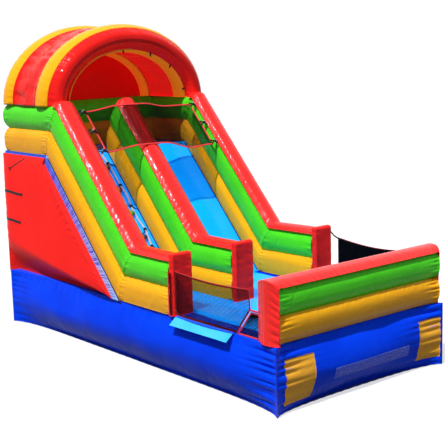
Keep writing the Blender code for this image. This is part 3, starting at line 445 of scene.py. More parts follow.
def signedVolume(mesh):
    mesh.calc_loop_triangles()
    points = np.zeros(len(mesh.vertices) * 3)
    mesh.vertices.foreach_get("co", points)
    points = points.reshape(-1, 3)
    points = points - points.mean(axis=0)
    corners = np.zeros(len(mesh.loop_triangles) * 3, np.int32)
    mesh.loop_triangles.foreach_get("vertices", corners)
    a, b, c = (points[corners.reshape(-1, 3)[:, i]] for i in range(3))
    return float((a * np.cross(b, c)).sum() / 6)


# Quads of a grid of points. A closed grid joins its last column to its first
def gridFaces(rows, columns, closed=False):
    i, j = np.meshgrid(np.arange(rows - 1), np.arange(columns if closed else columns - 1), indexing="ij")
    k = (j + 1) % columns
    quads = np.stack([i * columns + j, i * columns + k, (i + 1) * columns + k, (i + 1) * columns + j], -1)
    return quads.reshape(-1, 4)


# The faces of a slab: a grid, the same grid again behind it, and the rim between them
def slabFaces(rows, columns):
    count = rows * columns
    faces = gridFaces(rows, columns)
    rim = [j for j in range(columns)] + [i * columns + columns - 1 for i in range(1, rows)]
    rim += [(rows - 1) * columns + j for j in range(columns - 2, -1, -1)]
    rim += [i * columns for i in range(rows - 2, 0, -1)]
    walls = [[a + count, b + count, b, a] for a, b in zip(rim, rim[1:] + rim[:1])]
    return faces[:, ::-1].tolist() + (faces + count).tolist() + walls


# The two faces that close a closed grid's first and last row
def endCaps(rows, columns):
    return [list(range(columns)), list(range((rows - 1) * columns, rows * columns))]


# The quads that join a grid's last row to its first, where it is a ring
def loopFaces(rows, columns):
    last = (rows - 1) * columns
    return [[last + j, last + (j + 1) % columns, (j + 1) % columns, j] for j in range(columns)]


# A section's place, with the directions across it and up it. A swept form is a row of them
def station(origin, across, up):
    return np.array([origin, across, up], float)


# The same section further along its own up direction
def raised(place, height):
    return place + np.array([place[2] * height, (0, 0, 0), (0, 0, 0)])


# The same section, leaning inwards by the distance over the height of two wall tubes
def leaned(place, distance):
    return place - np.array([(0, 0, 0), (0, 0, 0), (distance / (2 * wallTube["height"]), 0, 0)])


def scaledAcross(place, share):
    return place * np.array([[1], [share], [1]])


# front, foot, deck or rear: where the line that walls and beds follow starts, bends and ends
def lineStation(kind, x=0):
    y = lines[kind + "Y"]
    z = lines["baseZ"] if kind in ("front", "foot") else lines["deckZ"]
    tilt = -math.tan(slopeAngle / 2) if kind in ("foot", "deck") else 0
    return station((x, y, z), (1, 0, 0), (0, tilt, 1))


def slopePoint(distance, height, x=0.0):
    y = lines["footY"] + distance * math.cos(slopeAngle) - height * math.sin(slopeAngle)
    z = lines["baseZ"] + distance * math.sin(slopeAngle) + height * math.cos(slopeAngle)
    return np.array([x, y, z])


slopeUp = slopePoint(0, 1) - slopePoint(0, 0)
slopeAhead = slopePoint(1, 0) - slopePoint(0, 0)
leftwards = np.array([-1.0, 0, 0])
forwards = np.array([0, -1.0, 0])


# Both ends moved in by the gap that a seam keeps
def trimmed(stations):
    first = np.linalg.norm(stations[1][0] - stations[0][0])
    last = np.linalg.norm(stations[-1][0] - stations[-2][0])
    start = stations[0] + (stations[1] - stations[0]) * lines["gap"] / first
    end = stations[-1] + (stations[-2] - stations[-1]) * lines["gap"] / last
    return [start] + list(stations[1:-1]) + [end]


# Many stations between the given ones, closer together near each seam
def refined(stations, pitch):
    rows, along, knots, total = [], [], [0.0], 0.0
    for first, second in zip(stations, stations[1:]):
        run = float(np.linalg.norm(second[0] - first[0]))
        count = max(4, round(run / pitch))
        share = np.arange(count) / count
        share = share - 0.3 * np.sin(2 * math.pi * share) / (2 * math.pi)
        for t in share:
            rows.append(first + (second - first) * t)
            along.append(total + run * t)
        total += run
        knots.append(total)
    rows.append(stations[-1])
    along.append(total)
    along = np.array(along)
    return np.array(rows), along, np.abs(along[:, None] - np.array(knots)).min(axis=1)


# A closed profile with its outward normals, arc lengths and distance to the nearest corner seam
def withArc(points, corners):
    points = np.array(points, float)
    after, before = np.roll(points, -1, axis=0), np.roll(points, 1, axis=0)
    tangent = after - before
    tangent /= np.maximum(np.linalg.norm(tangent, axis=1, keepdims=True), 1e-9)
    normal = np.column_stack([tangent[:, 1], -tangent[:, 0]])
    steps = np.linalg.norm(after - points, axis=1)
    arc = np.concatenate([[0], np.cumsum(steps)[:-1]])
    whole = steps.sum()
    marks = arc[corners]
    off = np.abs(arc[:, None] - marks)
    off = np.minimum(off, whole - off)
    return {"points": points, "normal": normal, "arc": arc, "toSeam": off.min(axis=1),
            "seam": off.argmin(axis=1)}


# A pressed-out side, fullest near its seams. Returns how far out and how high
def arcSide(height, bulge, step):
    count = max(8, round(math.hypot(height, 2 * bulge) / step))
    share = np.sin(np.linspace(-math.pi / 2, math.pi / 2, count + 1))
    share = 0.45 * share + 0.55 * np.linspace(-1, 1, count + 1)
    return bulge * (1 - np.abs(share) ** 2.6), height / 2 * (1 + share)


# Flat where it meets the pieces below and above, with round sides, counter-clockwise. The foot is how far
# the lower seams are drawn in
def tubeProfile(width, height, bulge, step=0.009, flatSteps=6, foot=None):
    foot = bulge if foot is None else foot
    out, up = arcSide(height, bulge, step)
    out = np.where(up < height / 2, bulge - (bulge - out) * foot / bulge, out)
    side = np.column_stack([width / 2 - bulge + out, up])
    last = len(side) - 1
    flat = np.linspace(side[-1, 0], -side[-1, 0], flatSteps + 1)[1:-1]
    top = np.column_stack([flat, np.full(len(flat), height)])
    base = np.linspace(-side[0, 0], side[0, 0], flatSteps + 1)[1:-1]
    bottom = np.column_stack([base, np.zeros(len(base))])
    corners = [0, last, last + len(flat) + 1, 2 * last + len(flat) + 1]
    return withArc(np.vstack([side, top, side[::-1] * (-1, 1), bottom]), corners)


# Flat below and a circular arc above
def capProfile(width, height, step=0.009, flatSteps=6):
    out, along = arcSide(width, height, step)
    dome = np.column_stack([width / 2 - along, out])
    flat = np.linspace(dome[-1, 0], dome[0, 0], flatSteps + 1)[1:-1]
    return withArc(np.vstack([dome, np.column_stack([flat, np.zeros(len(flat))])]), [0, len(dome) - 1])


# Smooth noise from 0 to 1 over two coordinates, one hill about every unit
def softNoise(a, b, seed):
    lattice = np.random.default_rng(seed).random((64, 64))
    i, j = np.floor(a).astype(int), np.floor(b).astype(int)
    s, t = a - i, b - j
    s, t = s * s * (3 - 2 * s), t * t * (3 - 2 * t)
    near = lattice[i % 64, j % 64] * (1 - t) + lattice[i % 64, (j + 1) % 64] * t
    far = lattice[(i + 1) % 64, j % 64] * (1 - t) + lattice[(i + 1) % 64, (j + 1) % 64] * t
    return near * (1 - s) + far * s


# A row of puckers, 0 between them and up to 1 in them, unevenly spaced and unevenly deep
def pleatTrain(position, spacing, seed):
    dice = np.random.default_rng(seed)
    low, high = float(position.min()) - spacing, float(position.max()) + spacing
    count = int((high - low) / spacing) + 3
    centres = low + np.cumsum(spacing * (0.5 + dice.random(count)))
    depths = 0.3 + 0.7 * dice.random(count)
    widths = spacing * (0.15 + 0.16 * dice.random(count))
    samples = np.arange(low, high + 0.002, 0.002)
    train = np.zeros(len(samples))
    for centre, depth, width in zip(centres, depths, widths):
        train += depth * np.exp(-(((samples - centre) / width) ** 2))
    return np.interp(position, samples, np.minimum(train, 1))


# 0 at a seam, 1 at the peak's distance from it, and fading beyond
def swell(distance, peak):
    return distance / peak * np.exp(1 - distance / peak)


# A few short soft folds that run in from a seam, where the cloth is pulled
def crossCreases(along, around, seed):
    dice = np.random.default_rng(seed + 17)
    folds = np.zeros((len(along), len(around)))
    for _ in range(max(2, int(along[-1] / 0.42))):
        middle, start = dice.random() * along[-1], dice.random() * around[-1]
        tilt, reach = dice.normal(0, 0.25), 0.07 + 0.08 * dice.random()
        off = (along[:, None] - middle) + tilt * (around[None, :] - start)
        folds += np.exp(-((off / 0.012) ** 2)) * np.exp(-(((around[None, :] - start) / reach) ** 2))
    return np.minimum(folds, 1)


# The section's points at every station of the row
def swept(rows, points):
    return rows[:, None, 0] + rows[:, None, 1] * points[None, :, :1] + rows[:, None, 2] * points[None, :, 1:]


# The swept grid with its seams drawn in and puckered. Returns points, UVs and nearness to a seam
def puckered(rows, along, toEnd, profile, look, seed, endSeed=None):
    points, normal = profile["points"], profile["normal"]
    grid = swept(rows, points)
    if "drawIn" in look:
        grid = grid - rows[:, None, 1] * look["drawIn"](toEnd[:, None], points[None])[:, :, None]
    out = rows[:, None, 1] * normal[None, :, :1] + rows[:, None, 2] * normal[None, :, 1:]
    out = out / np.linalg.norm(out, axis=2, keepdims=True)
    toSeam, around = profile["toSeam"], profile["arc"]
    level = (np.abs(normal[:, 1]) > 0.999) & (toSeam > 0.004)
    weight = np.where(level, look["flat"], 1.0)
    depth = np.zeros(grid.shape[:2])
    for k in range(int(profile["seam"].max()) + 1):
        mine = profile["seam"] == k
        shifted = along[:, None] + look["slant"] * (-1) ** k * toSeam[None, mine]
        train = pleatTrain(shifted, look["seamSpacing"], seed + 7 * k)
        if "seamGain" in look:
            train = train * look["seamGain"](along)[:, None]
        depth[:, mine] += look["seamDepth"] * train * swell(toSeam[mine], look["seamPeak"])
    ends = pleatTrain(around, look["endSpacing"], seed + 91 if endSeed is None else endSeed)
    endGain = look["endGain"](along) if "endGain" in look else np.ones(len(along))
    depth += look["endDepth"] * ends[None, :] * (endGain * swell(toEnd, look["endPeak"]))[:, None]
    hills = softNoise(along[:, None] / 0.42 + seed, around[None, :] / 0.3 + seed * 0.37, seed + 5)
    inside = (1 - np.exp(-toSeam / 0.05))[None, :] * (1 - np.exp(-toEnd / 0.06))[:, None]
    depth += look["sway"] * hills * inside
    if look["creases"]:
        depth += look["creases"] * crossCreases(along, around, seed) * inside
    grid = grid - out * (depth * weight[None, :])[:, :, None]
    uv = np.stack(np.broadcast_arrays(along[:, None], around[None, :]), -1)
    nearSeam = np.exp(-toSeam / 0.035) * (weight > 0)
    near = np.maximum(np.exp(-toEnd / 0.06)[:, None], nearSeam[None, :])
    return grid, uv, near


# How inflated vinyl puckers where nothing else is said: depths, places and spacings in metres
vinylLook = {
    "seamDepth": 0.009, "seamPeak": 0.026, "seamSpacing": 0.058, "slant": 0.25,
    "endDepth": 0.014, "endPeak": 0.035, "endSpacing": 0.048, "sway": 0.005, "creases": 0.006, "flat": 0,
}


# A closed inflated form that stands for its CAD node
def inflated(node, stations, profile, material, slot, seed, look=None, pitch=0.012, endSeed=None):
    rows, along, toEnd = refined(stations, pitch)
    grid, uv, near = puckered(rows, along, toEnd, profile, {**vinylLook, **(look or {})}, seed, endSeed)
    return finishSweep(node, grid, uv, near, material, slot)


def finishSweep(node, grid, uv, near, material, slot, glowShare=None):
    count, around = grid.shape[:2]
    faces = gridFaces(count, around, closed=True).tolist()
    faces += endCaps(count, around)
    piece = addPiece(node + "_vinyl", grid, faces, material, uv=uv, near=near, glowShare=glowShare)
    standFor(piece, slot, node)
    return piece


def standFor(piece, slot, *nodes):
    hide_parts(*nodes)
    return piece


# Base


# A full belly outside, and upright inside
def baseProfile(width, height, bulge):
    share = np.linspace(-1, 1, 71)
    side = [(width / 2 - bulge * t ** 2, height / 2 * (1 + t)) for t in share]
    inner = width / 2 - bulge
    top = [(x, height) for x in np.linspace(inner, -inner, 11)[1:]]
    back = [(-inner, z) for z in np.linspace(height, 0, 10)[1:]]
    bottom = [(x, 0) for x in np.linspace(-inner, inner, 9)[1:-1]]
    return withArc(side + top + back + bottom, [0, len(side) - 1])


def makeBase():
    base = {"width": 3.05, "length": 6.30, "tube": 0.42, "bulge": 0.05, "bottom": 0.0063}
    height = lines["baseZ"] - base["bottom"]
    profile = baseProfile(base["tube"], height, base["bulge"])

    # Corners stand upright and full. Between them the lower side curves in under the tube
    def drawIn(toEnd, points, under=0.155, over=0.02):
        t = 2 * points[..., 1] / height - 1
        inner = base["tube"] / 2 - base["bulge"]
        share = np.clip((points[..., 0] + inner) / (2 * inner), 0, 1)
        low, high = np.clip(-t, 0, 1), np.clip(t, 0, 1)
        middle = 1 - np.exp(-toEnd / 0.35)
        tuck = (under * low ** 1.7 + over * high ** 2) * middle
        return (tuck - base["bulge"] * t ** 2 * np.exp(-toEnd / 0.16)) * share

    # The rear tube's ends, and the left tube's end beside them, are pleated less than the front corners
    rearPleats = 0.35
    look = {
        "seamDepth": 0.007, "seamPeak": 0.05, "seamSpacing": 0.16, "endDepth": 0.080, "endPeak": 0.11,
        "endSpacing": 0.085, "sway": 0.024, "creases": 0.008, "drawIn": drawIn,
    }
    inset = base["tube"] / 2
    corners = {}
    for x in (-1, 1):
        for y in (-1, 1):
            origin = (x * (base["width"] / 2 - inset), y * (base["length"] / 2 - inset), base["bottom"])
            corners[x, y] = station(origin, (x, y, 0), (0, 0, 1))
    runs = {
        "base_left_tube": ((-1, -1), (-1, 1), 11),
        "base_right_tube": ((1, -1), (1, 1), 12),
        "base_front_tube": ((-1, -1), (1, -1), 13),
        "base_rear_tube": ((-1, 1), (1, 1), 14),
    }
    looks = {
        11: {**look, "endGain": lambda along: np.where(along > base["length"] / 2, rearPleats, 1)},
        13: {**look, "drawIn": lambda toEnd, points: drawIn(toEnd, points, 0.18, 0.085)},
        14: {**look, "endGain": lambda along: np.full(len(along), rearPleats)},
    }
    for node, (start, end, seed) in runs.items():
        stations = trimmed([corners[start], corners[end]])
        own = looks.get(seed, looks[11])
        inflated(node, stations, profile, finish["blue"], "base_vinyl", seed, own, 0.02, endSeed=40)


def makeGroundSheet():
    ground = {"columns": 120, "rows": 240, "height": 0.003, "ripple": 0.002, "drawnIn": 0.12, "corner": 0.35}
    low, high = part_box("base_sheet")
    x, y = np.meshgrid(np.linspace(low.x, high.x, ground["columns"]),
                       np.linspace(low.y, high.y, ground["rows"]), indexing="ij")
    edge = np.minimum(np.minimum(x - low.x, high.x - x), np.minimum(y - low.y, high.y - y))
    z = ground["height"] + ground["ripple"] * np.exp(-edge / 0.04) * np.sin(x * 40) * np.sin(y * 37)
    # Its edges draw in between the corners, as the tubes above them do
    x = x - ground["drawnIn"] * np.sign(x) * (x / high.x) ** 2 * (
        1 - np.exp(-(high.y - np.abs(y)) / ground["corner"]))
    y = y - ground["drawnIn"] * np.sign(y) * (y / high.y) ** 4 * (
        1 - np.exp(-(high.x - np.abs(x)) / ground["corner"]))
    grid = np.stack([x, y, z], -1)
    sheet = addPiece("ground_sheet", grid, gridFaces(ground["columns"], ground["rows"]), finish["sheet"],
                     uv=grid[..., :2], closed=False)
    standFor(sheet, "base_sheet", "base_sheet")


# Beds, lane sheets and the hidden webs


# A bed's section, dense along each side, counter-clockwise from its lower right corner
def bedProfile(lip, depth, core):
    edge = lines["outerX"]
    outline = [(core, -depth), (core, -lip), (edge, -lip), (edge, 0),
               (-edge, 0), (-edge, -lip), (-core, -lip), (-core, -depth)]
    counts = [3, 2, 12, 60, 12, 2, 3, 20]  # points along each side
    points, corners = [], []
    for (a, b), (c, d), count in zip(outline, outline[1:] + outline[:1], counts):
        corners.append(len(points))
        for i in range(count):
            points.append((a + (c - a) * i / count, b + (d - b) * i / count))
    return withArc(points, corners)


def makeBeds():
    bed = {"incline": 0.115, "deck": 0.04, "depth": 0.15, "core": 1.3797}
    foot, deck = lineStation("foot"), lineStation("deck")
    steep = 1 / math.sin(slopeAngle)
    toe = station(slopePoint(lines["gap"] * steep, 0), (1, 0, 0), (0, -steep, 0))
    length = np.linalg.norm(deck[0] - foot[0])
    top = deck + (foot - deck) * lines["gap"] / length
    makeGatheredBed(toe, top, bedProfile(bed["incline"], bed["depth"], bed["core"]))
    rear = trimmed([deck, lineStation("rear")])
    quiet = {"seamDepth": 0.004, "seamPeak": 0.015, "sway": 0.004, "endDepth": 0.003, "creases": 0}
    profile = bedProfile(bed["deck"], bed["depth"], bed["core"])
    inflated("deck_bed", rear, profile, finish["edge"], "bed_vinyl", 22, quiet, 0.02)

    low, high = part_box("landing_bed")
    makeLandingBed(low, high)
    for number, node in enumerate(("landing_baffle_left", "landing_baffle_right", "tower_baffle_left",
                                   "tower_baffle_right")):
        makeBaffle(node, number)


# The sloping bed. Its edges are cloth drawn up on elastic, so they stand in tight gathers
def makeGatheredBed(toe, top, profile):
    gather = {"spacing": 0.036, "depth": 0.012, "pitch": 0.0075, "rim": 0.6, "tiltLong": 0.09,
              "tiltHigh": 0.05}
    tape = {"x": 1.478, "lift": 0.003, "start": -0.05, "end": 2.56, "width": 0.026, "thick": 0.004,
            "count": 60}
    rows, along, _ = refined([toe, top], gather["pitch"])
    points, normal = profile["points"], profile["normal"]
    grid = swept(rows, points)
    rim = np.abs(normal[:, 0]) > gather["rim"]
    wave = pleatTrain(along, gather["spacing"], 21)
    tilt = softNoise(along[:, None] / gather["tiltLong"], points[None, :, 1] / gather["tiltHigh"], 22)
    depth = gather["depth"] * wave[:, None] * (0.55 + 0.45 * tilt) * rim[None, :]
    out = rows[:, None, 1] * normal[None, :, :1]
    grid = grid - out * depth[:, :, None]
    # The depth of each gather, which the finish paints as shade between the crests
    near = np.where(rim[None, :], wave[:, None] * (0.6 + 0.8 * (tilt - 0.3)), 0)
    faces = gridFaces(len(rows), len(points), closed=True).tolist() + endCaps(len(rows), len(points))
    uv = np.stack(np.broadcast_arrays(along[:, None], profile["arc"][None, :]), -1)
    piece = addPiece("incline_bed_vinyl", grid, faces, finish["gathered"], uv=uv, near=near)
    standFor(piece, "bed_vinyl", "incline_bed")
    # Navy tape in the groove where each wall meets the strip: a seam tape, and painted shade in the groove
    # as well
    for side, sign in (("left", -1), ("right", 1)):
        groove = [slopePoint(s, tape["lift"], sign * tape["x"])
                  for s in np.linspace(tape["start"], tape["end"], tape["count"])]
        addRibbon(f"incline_{side}_groove_shade_tape", groove, [slopeUp] * tape["count"], tape["width"],
                  tape["thick"], finish["navy"])


# The floor that riders land on: a low cushion with welded seams that dip
def makeLandingBed(low, high):
    floor = {"seamsAcross": (-0.62, 0.1, 0.78), "seamsAlong": (-2.25, -1.62), "dip": 0.018, "width": 0.05,
             "pitch": 0.016, "roll": 0.06, "sway": 0.003}
    columns = int((high.x - low.x) / floor["pitch"])
    rows = int((high.y - low.y) / floor["pitch"])
    x, y = np.meshgrid(np.linspace(low.x, high.x, columns), np.linspace(low.y, high.y, rows), indexing="ij")
    dip = np.zeros(x.shape)
    for place in floor["seamsAcross"]:
        dip = np.maximum(dip, np.exp(-np.abs(x - place) / floor["width"]))
    for place in floor["seamsAlong"]:
        dip = np.maximum(dip, np.exp(-np.abs(y - place) / floor["width"]))
    edge = np.minimum(np.minimum(x - low.x, high.x - x), np.minimum(y - low.y, high.y - y))
    roll = floor["roll"] * np.maximum(0, 1 - edge / floor["roll"]) ** 2
    top = high.z - floor["dip"] * dip - roll - floor["sway"] * softNoise(x * 5, y * 5, 3)
    upper = np.stack([x, y, top], -1).reshape(-1, 3)
    lower = np.stack([x, y, np.full(x.shape, low.z)], -1).reshape(-1, 3)
    count = len(upper)
    uv = np.vstack([upper[:, :2], lower[:, :2]])
    near = np.concatenate([dip.ravel(), np.zeros(count)])
    # Painted glow on the bed's top face only
    glowShare = np.concatenate([np.ones(count), np.zeros(count)])
    piece = addPiece("landing_bed_vinyl", np.vstack([upper, lower]), slabFaces(columns, rows), finish["bed"],
                     uv=uv, near=near, glowShare=glowShare)
    standFor(piece, "bed_vinyl", "landing_bed")


# An inner web: a flat coated cloth, cut to its CAD outline, hidden inside the air space
def makeBaffle(node, number):
    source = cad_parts[node].data
    points = np.array([v.co for v in source.vertices])
    middle = (points[:, 0].min() + points[:, 0].max()) / 2
    side = points[points[:, 0] > middle]
    centre = side.mean(axis=0)
    unique = np.unique(np.round(side[:, 1:], 4), axis=0)
    turn = np.arctan2(unique[:, 1] - centre[2], unique[:, 0] - centre[1])
    outline = [np.array([middle, *p]) for p in unique[np.argsort(turn)]]
    ring = np.array(subdivided(outline, 0.08))
    heart = np.array([middle, centre[1], centre[2]])
    rings = []
    for share in np.linspace(0, 0.98, 14):
        wave = 0.003 * np.sin(ring[:, 1] * 9 + share * 5 + number) * min(1, share * 3)
        rings.append(ring + (heart - ring) * share + np.column_stack([wave, wave * 0, wave * 0]))
    grid = np.array(rings)
    faces = gridFaces(len(rings), len(ring), closed=True).tolist()
    faces.append([(len(rings) - 1) * len(ring) + i for i in range(len(ring))])
    piece = addPiece(node + "_cloth", grid, faces, finish["web"], uv=grid[..., 1:], closed=False)
    standFor(piece, "baffle_fabric", node)
    spread = np.ptp(ring, axis=0)
    area = polygonArea(ring[:, 1], ring[:, 2])
    share = min(1.0, max(0.3, area / (spread[1] * spread[2])))


def polygonArea(x, y):
    return abs(float(np.sum(x * np.roll(y, -1) - y * np.roll(x, -1)))) / 2


def subdivided(outline, longest):
    found = []
    for first, second in zip(outline, outline[1:] + outline[:1]):
        count = max(1, math.ceil(np.linalg.norm(second - first) / longest))
        found += [first + (second - first) * i / count for i in range(count)]
    return found


laneHalf = wallTube["width"] / 2 - wallTube["bulge"]  # from a wall's middle to its lower seam


def makeLaneSheets():
    lane = {"thickness": 0.004, "edge": 0.006, "pitch": 0.03}
    margin = laneHalf + lane["edge"]
    spans = {
        "climb_lane_sheet": (margin - lines["sideX"], lines["centreX"] - margin),
        "slide_lane_sheet": (lines["centreX"] + margin, lines["sideX"] - margin),
    }
    length = float(np.linalg.norm(lineStation("deck")[0] - lineStation("foot")[0]))
    for node, (left, right) in spans.items():
        columns = int((right - left) / lane["pitch"])
        rows = int(length / lane["pitch"])
        x, s = np.meshgrid(np.linspace(left, right, columns), np.linspace(0.002, length - 0.002, rows),
                           indexing="ij")
        lift = lines["gap"] + lane["thickness"] - 0.0015 * softNoise(x * 6, s * 3, 8)
        grid = np.array([[slopePoint(s[i, j], lift[i, j], x[i, j]) for j in range(rows)]
                         for i in range(columns)])
        uv = np.stack([x - left, s], -1)
        faces = gridFaces(columns, rows)[:, ::-1]
        piece = addPiece(node + "_vinyl", grid, faces, finish["lane"], uv=uv, closed=False)
        if facesDown(piece):
            piece.data.flip_normals()
        standFor(piece, "lane_vinyl", node)
        makeLaneEdges(node, left, right, length, lift=lines["gap"] + lane["thickness"])


# Dark blue tape along both edges of a lane, standing just proud of the sheet in the crease beside each wall:
# a seam tape, and painted shade in that crease as well
def makeLaneEdges(node, left, right, length, lift):
    tape = {"width": 0.020, "thick": 0.004, "inset": 0.05, "lift": 0.003, "foot": 0.02, "head": 0.03}
    for side, x in (("left", left + tape["inset"]), ("right", right - tape["inset"])):
        spots = [slopePoint(s, lift + tape["lift"], x)
                 for s in np.linspace(tape["foot"], length - tape["head"], 60)]
        addRibbon(f"{node}_{side}_tape", spots, [slopeUp] * len(spots), tape["width"], tape["thick"],
                  finish["navy"])


def facesDown(piece):
    return sum(face.normal.z for face in piece.data.polygons) < 0


# Side and rear panels


# A plump panel on a flat back. Its edge is puckered square to the seam
def pillowPanel(node, outline, outward, depth, crown, material, slot, seed, look):
    corners = [np.array(p, float) for p in outline]
    outline = subdivided(corners, look["pitch"])
    ring = np.array(outline)
    outward = np.array(outward, float)
    heart = ring.mean(axis=0)
    borders = []
    for first, second in zip(corners, corners[1:] + corners[:1]):
        square = np.cross(outward, second - first)
        square *= np.sign((heart - first) @ square) / np.linalg.norm(square)
        if ((ring - first) @ square).min() > -0.01:  # a short border's line may cross the panel
            borders.append((first, square))
    steps = np.linalg.norm(np.roll(ring, -1, axis=0) - ring, axis=1)
    around = np.concatenate([[0], np.cumsum(steps)[:-1]])
    reach = np.linalg.norm(ring - heart, axis=1)
    shares = 1 - (1 - np.linspace(0, 0.985, look["rings"])) ** 1.35
    train = pleatTrain(around, look["spacing"], seed)
    rings, near, glowShare = [ring], [np.ones(len(ring))], [np.ones(len(ring))]
    low, high = ring.min(axis=0), ring.max(axis=0)
    for share in shares:
        inward = share * reach
        place = ring + (heart - ring) * share
        rise = np.ones(len(ring))
        for first, square in borders:
            rise *= 1 - np.exp(-np.maximum((place - first) @ square, 0) / look["shoulder"])
        pucker = train * look["pucker"] * swell(inward, look["peak"])
        a, b = (place @ axis for axis in look["axes"])
        hills = look["sway"] * softNoise(a / look["hill"] + seed, b / look["hill"], seed + 3) * rise
        height = depth + crown * rise - pucker - hills
        if look.get("sag"):
            rear = np.clip((place[:, 1] - low[1]) / (high[1] - low[1]), 0, 1)
            above = np.clip((place[:, 2] - low[2] - 0.02) / (0.05 + look["sagHeight"] * rear), 0, 1)
            kept = np.maximum(0.5 * above + 0.5 * above ** 2 * (3 - 2 * above), 0.03)
            fromRear = (1 - np.exp(-(high[1] - place[:, 1]) / 0.05)) * np.clip(rear / 0.12, 0, 1)
            height = height * (1 - look["sag"] * (1 - kept) * fromRear)
            # Painted glow: the part that sags in glows less, so the tucked-in lower part comes out darker
            glowShare.append(kept ** 2)
        else:
            glowShare.append(np.ones(len(ring)))
        rings.append(place + outward * height[:, None])
        near.append(np.exp(-inward / 0.05))
    grid = np.array(rings)
    count = len(ring)
    faces = gridFaces(len(rings), count, closed=True).tolist()
    faces.append(list(range(count)))
    faces.append([(len(rings) - 1) * count + i for i in range(count)])
    inner = np.linalg.norm(grid - heart, axis=2)
    uv = np.stack([np.broadcast_to(around, grid.shape[:2]), inner], -1)
    piece = addPiece(node + "_vinyl", grid, faces, material, uv=uv, near=np.array(near), glowShare=np.array(glowShare))
    standFor(piece, slot, node)
    return piece


def makePanels():
    panel = {"innerX": 1.38, "depth": 0.12, "crown": 0.09, "rearCrown": 0.045, "rearY": 3.215, "lip": 0.1153,
             "deckLip": 0.0403, "rearDrop": 0.03, "underDeck": 0.15}
    look = {"pitch": 0.02, "rings": 60, "spacing": 0.11, "shoulder": 0.10, "pucker": 0.012, "peak": 0.05,
            "sway": 0.016, "hill": 0.6, "sag": 1, "sagHeight": 0.50,
            "axes": (np.array([0, 1, 0]), np.array([0, 0, 1]))}
    deck = lineStation("deck")
    bottom = lines["baseZ"] + lines["gap"]
    top = lines["deckZ"] - panel["deckLip"]
    front = lines["footY"] + (panel["lip"] + lines["gap"] * math.cos(slopeAngle)) / math.sin(slopeAngle)
    low = deck[0] - deck[2] * panel["lip"]
    high = deck[0] - deck[2] * panel["deckLip"]
    for side, sign in (("left", -1), ("right", 1)):
        x = sign * panel["innerX"]
        outline = [(x, front, bottom), (x, low[1], low[2]), (x, high[1], top), (x, panel["rearY"], top),
                   (x, panel["rearY"], bottom - panel["rearDrop"])]
        pillowPanel(f"side_panel_{side}", outline, (sign, 0, 0), panel["depth"], panel["crown"],
                    finish["panelRed"], "panel_vinyl", 31 if sign < 0 else 32, look)
    x = panel["innerX"] - lines["gap"]
    y = panel["rearY"] - panel["depth"]
    rearTop = lines["deckZ"] - panel["underDeck"] - lines["gap"]
    outline = [(-x, y, bottom), (x, y, bottom), (x, y, rearTop), (-x, y, rearTop)]
    look = {**look, "axes": (np.array([1, 0, 0]), np.array([0, 0, 1])), "sag": 0, "shoulder": 0.12}
    pillowPanel("rear_panel", outline, (0, 1, 0), panel["depth"], panel["rearCrown"], finish["red"],
                "panel_vinyl", 33, look)


# Walls, their ends and the deck rails


# The yellow tube's lower seams are drawn in less, because it is sewn to the bed there
def wallProfiles():
    height = wallTube["height"] - lines["gap"]
    return [tubeProfile(wallTube["width"], height, wallTube["bulge"], foot=foot)
            for foot in (0.022, wallTube["bulge"])]


# Where a level line and a line up the slope meet, each at its own height above the bed
def bendPoint(kind, x, flatHeight, slopeHeight):
    y = (flatHeight * math.cos(slopeAngle) - slopeHeight) / math.sin(slopeAngle)
    return lineStation(kind, x)[0] + np.array([0, y, flatHeight])


# The section of a wall's yellow (0) or green (1) tube at a bend. Up the slope their seam is lower
def wallStation(kind, x, level, lean=0):
    height, gap = wallTube["height"], lines["gap"]
    low, high = level * height + gap, (level + 1) * height
    slopeLow = (0, wallTube["slopeSeam"])[level] + gap
    slopeHigh = (wallTube["slopeSeam"], 2 * height)[level]
    bottom = bendPoint(kind, x - lean * low / (2 * height), low, slopeLow)
    top = bendPoint(kind, x - lean * high / (2 * height), high, slopeHigh)
    return station(bottom, (1, 0, 0), (top - bottom) / (height - gap))


def makeWalls():
    cap = {"width": 0.345, "height": 0.08, "rightWidth": 0.30, "rightShift": 0.02, "hoodY": 1.6997}
    capLook = {"seamDepth": 0.006, "seamPeak": 0.036, "seamSpacing": 0.085, "sway": 0.006, "endDepth": 0.010}
    tubes = wallProfiles()
    gap = lines["gap"]
    for number, (side, x) in enumerate((("left", -lines["sideX"]), ("centre", lines["centreX"]),
                                        ("right", lines["sideX"]))):
        lean = lines["lean"] if side == "right" else 0
        line = [lineStation("front", x)] + [leaned(lineStation(kind, x), lean) for kind in ("foot", "deck")]
        for level, shade in enumerate(("yellow", "green")):
            front = raised(line[0], level * wallTube["height"] + gap)
            stations = trimmed([front] + [wallStation(kind, x, level, lean) for kind in ("foot", "deck")])
            inflated(f"{side}_wall_{shade}_tube", stations, tubes[level], finish[shade], f"{shade}_vinyl",
                     50 + 10 * number + level, endSeed=60 + level)
        stations = [raised(place, 2 * wallTube["height"] + gap) for place in line]
        if side != "centre":
            stations.append(station((x - lean, cap["hoodY"], railTop + gap), (1, 0, 0), (0, 0, 1)))
        if side == "right":
            shift = np.array([(cap["rightShift"], 0, 0), (0, 0, 0), (0, 0, 0)])
            narrow = cap["rightWidth"] / cap["width"]
            stations[1:] = [scaledAcross(place - shift, narrow) for place in stations[1:]]
        profile = capProfile(cap["width"], cap["height"])
        inflated(f"{side}_wall_red_cap", trimmed(stations), profile, finish["capRed"], "red_vinyl",
                 55 + 10 * number, capLook)
        makeWallEnd(f"{side}_wall_end", x, 58 + 10 * number)


